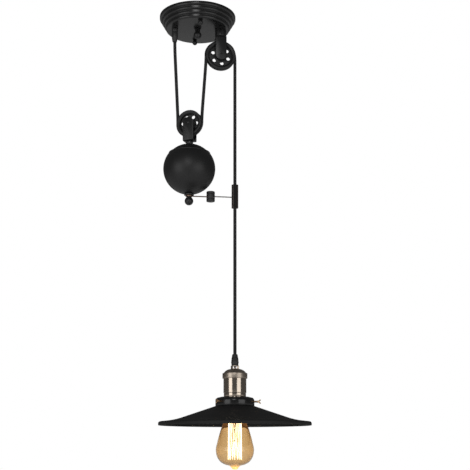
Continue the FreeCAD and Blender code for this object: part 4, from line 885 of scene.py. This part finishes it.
class PENDANT_OT_counterweight(bpy.types.Operator):
    """The ball in two halves, with its neck, washer and finial"""

    bl_idname = "pendant.counterweight"
    bl_label = "Counterweight"

    def execute(self, context):
        bowl = extent("ball_bowl")
        radius, wall, bead, bead_height, groove, inset = bowl.radius, 1.2, 0.15, 2.0, 1.9, 0.9
        centre, seam = bowl.bottom + radius, bowl.top
        at, rise = (bowl.x, 0), seam - centre
        lift = math.degrees(math.asin(rise / radius))
        inner = radius - wall
        inner_lift = math.degrees(math.asin(rise / inner))
        inner_edge = inner * math.cos(math.radians(inner_lift))
        start = math.degrees(math.asin(ROD_BORE / radius))
        rim = lift - math.degrees(bead_height / radius)
        edge = radius * math.cos(math.radians(rim)) + bead
        # The insides are plain: a flat foot in the bowl, and two straight walls in the cap.
        profile = [(ROD_BORE, centre - math.sqrt(radius ** 2 - ROD_BORE ** 2)),
                   arc((0, centre), 90 + rim - start, steps=56), (edge, seam, 0.6, 4), (inner_edge, seam),
                   arc((0, centre), -(90 + inner_lift - 20), steps=32), (ROD_BORE, centre - inner * 0.94)]
        shell = turned(profile, faces=BALL_ROUND, at=at)
        piece("ball_lower_shell", shell, "ball_black", "counterweight", "ball_bowl")

        outer = radius - inset
        low = math.degrees(math.asin((rise + groove) / outer))
        end = math.degrees(math.acos(ROD_BORE / outer))
        inner = outer - wall
        step = math.sqrt(inner ** 2 - rise ** 2) - 2.5
        profile = [(step + 0.25, seam), (step + 0.25, seam + groove - 0.3),
                   (outer * math.cos(math.radians(low)), seam + groove),
                   arc((0, centre), end - low, steps=28), (ROD_BORE, centre + inner),
                   (inner * 0.42, centre + inner * 0.9075), (step, seam)]
        shell = turned(profile, faces=BALL_ROUND, at=at)
        piece("ball_upper_shell", shell, "ball_black", "counterweight", "ball_cap")

        for name, node, roundings in (("ball_neck", "neck_collar", ((0.6, 3), (0.3, 2))),
                                      ("ball_washer", "bottom_washer", ((0.4, 3), (0.7, 3)))):
            box = extent(node)
            piece(name, ring(ROD_BORE, box.radius, box.top, box.bottom, roundings, at=at), "fitting_black",
                  "counterweight", node)
        finial = knob(extent("finial_knob"), KNOB_NECK)
        piece("finial_ball", finial, "fitting_black", "counterweight", "finial_knob")
        return {"FINISHED"}


class PENDANT_OT_guide_arm(bpy.types.Operator):
    """The arm from the ball to the cord, with its clamp and slotted sleeve"""

    bl_idname = "pendant.guide_arm"
    bl_label = "Guide arm"

    def execute(self, context):
        front, back = extent("arm_front_rod"), extent("arm_back_rod")
        clamp, sleeve, ball = extent("arm_clamp"), extent("guide_sleeve"), extent("ball_bowl")
        rod, eye_radius = 1.05, 6.2
        eye = ring(ROD_BORE, eye_radius, front.top, front.bottom, ((0.4, 3), (0.4, 3)), at=(ball.x, 0))
        reach = bar(rod, (ball.x + 5.0, 0, front.z), (front.right, 0, front.z))
        piece("arm_front", joined(eye, reach), "arm_bronze", "counterweight", "arm_front_rod")
        rear = bar(rod, (back.left, back.y, back.z), (back.right, back.y, back.z))
        piece("arm_back", rear, "arm_nickel", "counterweight", "arm_back_rod", slot="arm_steel")

        radius, grooves = clamp.radius, []
        for share in (0.25, 0.75):
            z = clamp.top + (clamp.bottom - clamp.top) * share
            grooves += [(radius, z + 0.5, 0.15, 2), (radius - 0.5, z), (radius, z - 0.5, 0.15, 2)]
        profile = [(0, clamp.top), (radius, clamp.top, 0.7, 3), *grooves, (radius, clamp.bottom, 0.7, 3),
                   (0, clamp.bottom)]
        piece("arm_clamp_drum", turned(profile, at=(clamp.x, clamp.y)), "clamp_black", "counterweight",
              "arm_clamp", slot="arm_black")

        inner, outer, half_slot = 3.5, sleeve.radius, 28.0
        edge = [(inner, sleeve.top), (outer, sleeve.top)]
        for z in (sleeve.top - 4, sleeve.top - 6, sleeve.bottom + 6, sleeve.bottom + 4):
            edge += [(outer, z + 0.5), (outer - 0.4, z), (outer, z - 0.5)]
        edge += [(outer, sleeve.bottom), (inner, sleeve.bottom)]
        shape = swept(edge, math.radians(half_slot - 90), math.radians(360 - 2 * half_slot), steps=56)
        piece("cord_sleeve", moved(shape, shift(sleeve.x, 0, 0)), "sleeve_gunmetal", "counterweight",
              "guide_sleeve", slot="sleeve_bronze")
        return {"FINISHED"}


# Lamp holder


def knurled(bm, radius, low, high, teeth, depth):
    """Cuts teeth round a ring: every other column of its side goes in by a depth."""
    for vert in bm.verts:
        x, y, z = vert.co
        reach = math.hypot(x, y)
        column = round(math.atan2(y, x) / (math.pi / teeth))
        if reach > radius - 0.1 * MM and low < z < high and column % 2:
            vert.co.x, vert.co.y = x * (1 - depth / reach), y * (1 - depth / reach)
    return bm


CORE_BORE = 1.9  # radius of the holes that the lamp's cores pass
RIB_DROPS = (6.8, 9.0, 11.2)  # of the cord grip's ribs, below its top
GRIP_FLARE = 0.07  # how much wider the grip gets for each millimetre down


class PENDANT_OT_lamp_holder(bpy.types.Operator):
    """Cord grip, yoke, knurled cap and body of the lamp holder"""

    bl_idname = "pendant.lamp_holder"
    bl_label = "Lamp holder"

    def execute(self, context):
        grip, yoke = extent("cord_grip"), extent("yoke")
        cap, body = extent("holder_cap"), extent("holder_body")
        at = (body.x, 0)
        top, low, bore = grip.top, grip.bottom, 2.95
        profile = [(bore, top), (4.5, top, 0.7, 3), (5.5, top - 6.0)]
        for drop in RIB_DROPS:
            z, flare = top - drop, drop * GRIP_FLARE
            profile += [(5.5 + flare, z), (4.9 + flare, z - 0.5), (5.6 + flare, z - 1.0)]
        profile += [(6.7, top - 13.0, 1.0, 3), (5.7, low, 0.8, 3), (CORE_BORE, low),
                    (CORE_BORE, low + 2), (bore, low + 2)]
        piece("cord_grip_sleeve", turned(profile, at=at), "nylon_black", "lamp", "cord_grip")

        side, plate, leg_width = yoke.radius, 1.0, 1.3
        shapes = [ring(CORE_BORE, side, z + plate, z, ((0.3, 2), (0.3, 2)), at=at)
                  for z in (yoke.top - plate, yoke.bottom)]
        corners = [(4.8, yoke.top - 0.5), (side, yoke.top - 0.5), (side, yoke.bottom + 0.5),
                   (4.8, yoke.bottom + 0.5)]
        for heading in (0, math.pi):
            leg = swept(corners, heading - leg_width / 2, leg_width, steps=12)
            shapes.append(moved(leg, shift(body.x, 0, 0)))
        piece("cord_yoke", joined(*shapes), "holder_bronze", "lamp", "yoke")

        edge, shoulder, wall, neck = cap.radius, cap.top - 7.0, 1.4, 5.05
        inside = body.radius - wall
        profile = [(neck, cap.top), (9.0, cap.top, 0.8, 3), (15.8, cap.top - 1.9, 4.0, 6),
                   (body.radius, shoulder - 0.1, 1.0, 3), (edge, shoulder, 0.6, 3), (edge, shoulder - 4.5),
                   (edge, cap.bottom, 0.6, 3), (inside, cap.bottom), (inside, shoulder - wall),
                   (9.0, cap.top - wall), (neck, cap.top - wall)]
        teeth = sizes().knurl_teeth
        shape = knurled(turned(profile, faces=2 * teeth), edge * MM, (cap.bottom + 0.8) * MM,
                        (shoulder - 0.8) * MM, teeth, sizes().knurl_depth)
        piece("holder_dome", moved(shape, shift(body.x, 0, 0)), "knurl_bronze", "lamp", "holder_cap",
              slot="holder_bronze")

        inside, bead, skirt = 16.2, 18.9, 17.6
        bead_low = body.bottom + 10.0
        bead_top = bead_low + 6.2
        profile = [(inside, body.top), (body.radius, body.top), (body.radius, bead_top + 0.5, 0.5, 3),
                   (bead, bead_top), (bead, bead_low, 0.3, 2), (skirt, bead_low),
                   (skirt, body.bottom, 0.4, 2), (inside, body.bottom)]
        piece("holder_shell", turned(profile, faces=ROUND, at=at), "holder_bronze", "lamp", "holder_body")
        return {"FINISHED"}


# Shade


class PENDANT_OT_shade(bpy.types.Operator):
    """The shade, and the gallery that it hangs in"""

    bl_idname = "pendant.shade"
    bl_label = "Shade and gallery"

    def execute(self, context):
        gallery, shade = extent("shade_gallery"), extent("shade")
        at = (gallery.x, 0)
        top, low, side, bore, flat, wall = gallery.top, gallery.bottom, gallery.radius, 17.65, 23.5, 1.2
        profile = [(bore, top), (flat, top, 0.8, 3), (side - 2.6, top - 1.7, 0.6, 3),
                   (side, top - 4.4, 2.2, 6), (side, low, 0.3, 2), (side - wall, low),
                   (side - wall, top - 5.2), (side - 3.4, top - 3.0), (flat, top - wall), (bore, top - wall)]
        piece("gallery_cup", turned(profile, faces=ROUND, at=at), "gallery_black", "lamp", "shade_gallery")

        rim, wall, neck = shade.radius, 0.8, 29.4
        cone_top = low - 0.4
        cone_low, brim = cone_top - 23.4, cone_top - 26.3
        outside = [(neck + 1.2, shade.top, 0.2, 2), (neck + 1.2, shade.top - wall, 0.2, 2),
                   (neck, shade.top - wall), (neck, cone_top + 1.2, 0.8, 3), (33.2, cone_top, 1.2, 4),
                   (103.0, cone_low, 12.0, 6), (rim, brim, 2.7, 6), (rim, shade.bottom, 0.3, 2)]
        inside = [(rim - wall, shade.bottom, 0.3, 2), (rim - wall, brim - wall, 2.0, 6),
                  (102.9, cone_low - wall, 12.0, 6), (32.9, cone_top - wall, 1.0, 4),
                  (neck - wall, cone_top + 0.8, 0.6, 3), (neck - wall, shade.top, 0.2, 2)]
        cone = turned(outside + inside, faces=SHADE_ROUND, at=at)
        piece("shade_cone", cone, "shade_black", "lamp", "shade")
        return {"FINISHED"}


SCREW_TIP = 29.7  # distance of a thumbscrew's tip from the lamp's axis
SCREW_SHOULDER = 7.5  # of its head, past the gallery
FIRST_SCREW = -24.0  # heading of the first thumbscrew, in degrees


def wing_screw(shoulder, tip):
    """A thumbscrew along +X: shank from its tip to its forked wing head."""
    radius = 1.5
    shank = bar(radius, (tip, 0, 0), (shoulder + 0.6, 0, 0), rounding=0.25)
    reach, half, arm, thick = shoulder + 4.6, 3.8, 2.0, 1.6
    wing = [(shoulder - 1.4, -1.3), (shoulder + 1.6, -2.1), (reach - 1.4, -half), (reach - 0.1, -half + 0.3),
            (reach, -half + arm)]
    outline = wing + [(shoulder + 1.8, 0)] + [(x, -z) for x, z in reversed(wing)]
    wings = bmesh.new()
    face = wings.faces.new([wings.verts.new((x * MM, -thick / 2 * MM, z * MM)) for x, z in outline])
    drawn = bmesh.ops.extrude_face_region(wings, geom=[face])["geom"]
    bmesh.ops.translate(wings, vec=(0, thick * MM, 0), verts=verts_of(drawn))
    return joined(shank, soften(outward(wings), rounding=0.4, segments=3, angle=40.0))


class PENDANT_OT_thumbscrews(bpy.types.Operator):
    """The three thumbscrews that hold the shade"""

    bl_idname = "pendant.thumbscrews"
    bl_label = "Thumbscrews"

    def execute(self, context):
        gallery = extent("shade_gallery")
        for i in range(3):
            node = f"thumbscrew_{i + 1}"
            turn = Matrix.Rotation(math.radians(FIRST_SCREW - 120 * i), 4, "Z")
            screw = wing_screw(gallery.radius + SCREW_SHOULDER, SCREW_TIP)
            place = shift(gallery.x, 0, extent(node).z) @ turn
            piece(f"wing_screw_{i + 1}", moved(screw, place), "wing_brass", node, node, slot="screw_brass")
        return {"FINISHED"}


# Bulb


def smooth_profile(points):
    """A smooth line through a few points (radius, z) in millimetres."""
    curve = new_curve("3D", detail=10)
    spline = curve.splines.new("BEZIER")
    spline.bezier_points.add(len(points) - 1)
    for knot, (radius, z) in zip(spline.bezier_points, points):
        knot.co = (radius * MM, 0, z * MM)
        knot.handle_left_type = knot.handle_right_type = "AUTO"
    line = curve_shape(curve)
    smooth = [(max(0.0, v.co.x / MM), v.co.z / MM) for v in line.verts]
    line.free()
    return smooth


# The glass's radius at heights above its lowest point. The widest radius is the CAD node's own.
END_OUTLINE = [(0.0, 0.6), (3.8, 1.2), (6.4, 4.2), (8.8, 6.4), (17.0, 8.9), (26.2, 15.2)]
WIDEST_HEIGHT = 30.0
NECK_OUTLINE = [(29.6, 46.0), (24.6, 64.0), (17.6, 84.0), (13.8, 98.0), (13.2, 108.0)]


class PENDANT_OT_bulb(bpy.types.Operator):
    """The filament bulb: glass, stem and glowing filament"""

    bl_idname = "pendant.bulb"
    bl_label = "Bulb"

    def execute(self, context):
        box, filament, stem = extent("bulb_glass"), extent("filament"), extent("bulb_stem")
        knots = END_OUTLINE + [(box.radius, WIDEST_HEIGHT)] + NECK_OUTLINE
        outline = smooth_profile([(radius, box.bottom + height) for radius, height in knots])
        shape = turned(outline + [(12.6, box.top)], faces=ROUND, closed=False)
        if sum((f.normal.xy).dot(f.calc_center_median().xy) for f in shape.faces) < 0:
            bmesh.ops.reverse_faces(shape, faces=shape.faces)
        bmesh.ops.solidify(shape, geom=shape.faces[:], thickness=sizes().glass_wall)
        piece("bulb_envelope", moved(outward(shape), shift(box.x, 0, 0)), "amber_glass", "bulb", "bulb_glass",
              slot="bulb_glass", sharp=70.0)

        rod = 1.3
        profile = [(0, stem.top), (7.2, stem.top, 0.6, 3), (4.6, stem.top - 8, 2.0, 4),
                   (3.6, filament.top + 6, 1.0, 4), (rod, filament.top, 0.6, 3), (rod, stem.bottom, 1.2, 4),
                   (0, stem.bottom)]
        piece("bulb_stem_rod", turned(profile, faces=32, at=(box.x, 0)), "stem_glass", "bulb", "bulb_stem",
              slot="bulb_glass", sharp=70.0)

        def around(radius, angle, z):
            return (box.x + radius * math.cos(angle), radius * math.sin(angle), z)

        loops, wire = sizes().filament_loops, sizes().filament_wire / MM / 2
        high, low, narrow, wide = filament.top - 0.6, filament.bottom - 12.0, 11.0, 11.6
        strands = []
        for i in range(2 * loops):
            upper_angle = math.tau * ((i + 1) // 2) / loops
            lower_angle = math.tau * (i // 2 + 0.5) / loops
            upper, lower = around(narrow, upper_angle, high), around(wide, lower_angle, low)
            from_top = around(rod + 0.05, upper_angle, high), upper
            from_end = (box.x, 0, stem.bottom - 0.4), lower
            strands.append(bar(wire, upper, lower, faces=8, rounding=0.05))
            strands.append(bar(wire * 0.4, *(from_end if i % 2 else from_top), faces=8, rounding=0.05))
        piece("filament_cage", joined(*strands), "filament", "bulb", "filament")
        return {"FINISHED"}


# Finishes of the pieces that stay as the CAD made them


class PENDANT_OT_fittings(bpy.types.Operator):
    """Finishes of the small fittings, mostly inside the canopy and the holder"""

    bl_idname = "pendant.fittings"
    bl_label = "Small fittings"

    def execute(self, context):
        for finish, nodes in NODE_FINISHES.items():
            for node in nodes:
                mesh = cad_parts[node].data
                mesh.materials.clear()
                mesh.materials.append(MATERIALS[finish])
        return {"FINISHED"}


# Camera, lights, floor and surround


# The camera's place, and its upward tilt and heading in degrees, as fitted to the photograph
EYE = (-0.1827, -1.6396, -0.7821)
TILT = 12.63
HEADING = -8.76
FOCAL_PIXELS = 960.0  # the photograph's focal length and width, in its pixels
PHOTO_PIXELS = 470.0
FLOOR_Z = -1.75
FLOOR_RADIUS = 9.0
FLOOR_PALENESS = 0.35  # added to what the camera sees of the floor
SURROUND_LIGHT = 0.50  # the surround's strength as a light, and in reflections
SURROUND_MIRRORED = 0.10
LAMPS_AIM = (0.04, 0, -0.45)
LAMPS_DISTANCE = 2.6  # of each lamp from the frame's upright axis


def pale_floor():
    """A floor that shows paler to the camera than its light makes it, with the object's shadow kept."""
    material, tree, shader = surface("floor pale", Base_Color=shade_of((0.82, 0.82, 0.82)), Roughness=0.8,
                                     Emission_Color=(1, 1, 1, 1))
    path = tree.nodes.new("ShaderNodeLightPath")
    feed(tree, shader.inputs["Emission Strength"],
         math_node(tree, "MULTIPLY", path.outputs["Is Camera Ray"], FLOOR_PALENESS))
    return material


def soft_box(name, side, width, height, z, power):
    """A large rectangular lamp, at an angle from the camera's side, aimed at the object."""
    light = bpy.data.lights.new(name, "AREA")
    light.shape, light.size, light.size_y = "RECTANGLE", width, height
    light.energy = power
    made = linked(name, light)
    angle = math.radians(HEADING + side)
    made.location = (LAMPS_DISTANCE * math.sin(angle), -LAMPS_DISTANCE * math.cos(angle), z)
    made.rotation_mode = "QUATERNION"
    made.rotation_quaternion = (made.location - Vector(LAMPS_AIM)).to_track_quat("Z", "Y")
    made.visible_camera = False
    made.visible_transmission = False


class PENDANT_OT_stage(bpy.types.Operator):
    """Camera at the photograph's angle, soft lamps, pale floor and white surround"""

    bl_idname = "pendant.stage"
    bl_label = "Camera and stage"

    def execute(self, context):
        scene = context.scene
        camera = bpy.data.cameras.new("camera")
        camera.sensor_width = 36.0
        camera.lens = FOCAL_PIXELS * camera.sensor_width / PHOTO_PIXELS
        camera.clip_end = 50.0
        viewer = linked("camera", camera)
        viewer.location = EYE
        viewer.rotation_euler = (math.radians(90 + TILT), 0, math.radians(HEADING))
        scene.camera = viewer
        scene.view_settings.view_transform = "Standard"

        world = bpy.data.worlds.new("surround")
        scene.world = world
        world.use_nodes = True
        tree = world.node_tree
        shader = tree.nodes["Background"]
        path = tree.nodes.new("ShaderNodeLightPath").outputs
        seen = math_node(tree, "MAXIMUM", path["Is Camera Ray"], path["Is Transmission Ray"])
        unseen = span_node(tree, path["Is Glossy Ray"], SURROUND_LIGHT, SURROUND_MIRRORED)
        feed(tree, shader.inputs["Color"], (1, 1, 1, 1))
        feed(tree, shader.inputs["Strength"], span_node(tree, seen, unseen, 1.0))

        floor = bmesh.new()
        bmesh.ops.create_circle(floor, cap_ends=True, segments=BALL_ROUND, radius=FLOOR_RADIUS)
        moved(floor, Matrix.Translation((0, 0, FLOOR_Z)))
        object_of("floor", floor, pale_floor())
        soft_box("lamp_left", side=-44, width=1.6, height=1.6, z=-0.45, power=14)
        soft_box("lamp_right", side=42, width=1.8, height=1.4, z=-0.45, power=12)
        soft_box("lamp_front", side=-4, width=0.7, height=1.0, z=0.40, power=10)
        return {"FINISHED"}


OPERATORS = [PENDANT_OT_stage, PENDANT_OT_cord, PENDANT_OT_canopy, PENDANT_OT_canopy_fittings,
             PENDANT_OT_sheaves, PENDANT_OT_counterweight, PENDANT_OT_guide_arm, PENDANT_OT_lamp_holder,
             PENDANT_OT_shade, PENDANT_OT_thumbscrews, PENDANT_OT_bulb, PENDANT_OT_fittings]


class PENDANT_PT_panel(bpy.types.Panel):
    """Lists the pendant's pieces, sizes and finishes"""

    bl_idname = "PENDANT_PT_panel"
    bl_label = "Rise and fall pendant"
    bl_space_type = "VIEW_3D"
    bl_region_type = "UI"
    bl_category = "Pendant"

    def draw(self, context):
        for group in (context.scene.pendant_sizes, context.scene.pendant_finishes):
            column = self.layout.column(align=True)
            for name in group.__annotations__:
                column.prop(group, name)
        for operator in OPERATORS:
            self.layout.operator(operator.bl_idname)


CLASSES = [PendantSizes, PendantFinishes, *OPERATORS, PENDANT_PT_panel]


def register():
    for cls in CLASSES:
        bpy.utils.register_class(cls)
    bpy.types.Scene.pendant_sizes = PointerProperty(type=PendantSizes)
    bpy.types.Scene.pendant_finishes = PointerProperty(type=PendantFinishes)


def unregister():
    del bpy.types.Scene.pendant_finishes
    del bpy.types.Scene.pendant_sizes
    for cls in reversed(CLASSES):
        bpy.utils.unregister_class(cls)


def main():
    register()
    make_materials()
    for operator in OPERATORS:
        category, name = operator.bl_idname.split(".")
        getattr(getattr(bpy.ops, category), name)()


if __name__ == "__main__":
    main()
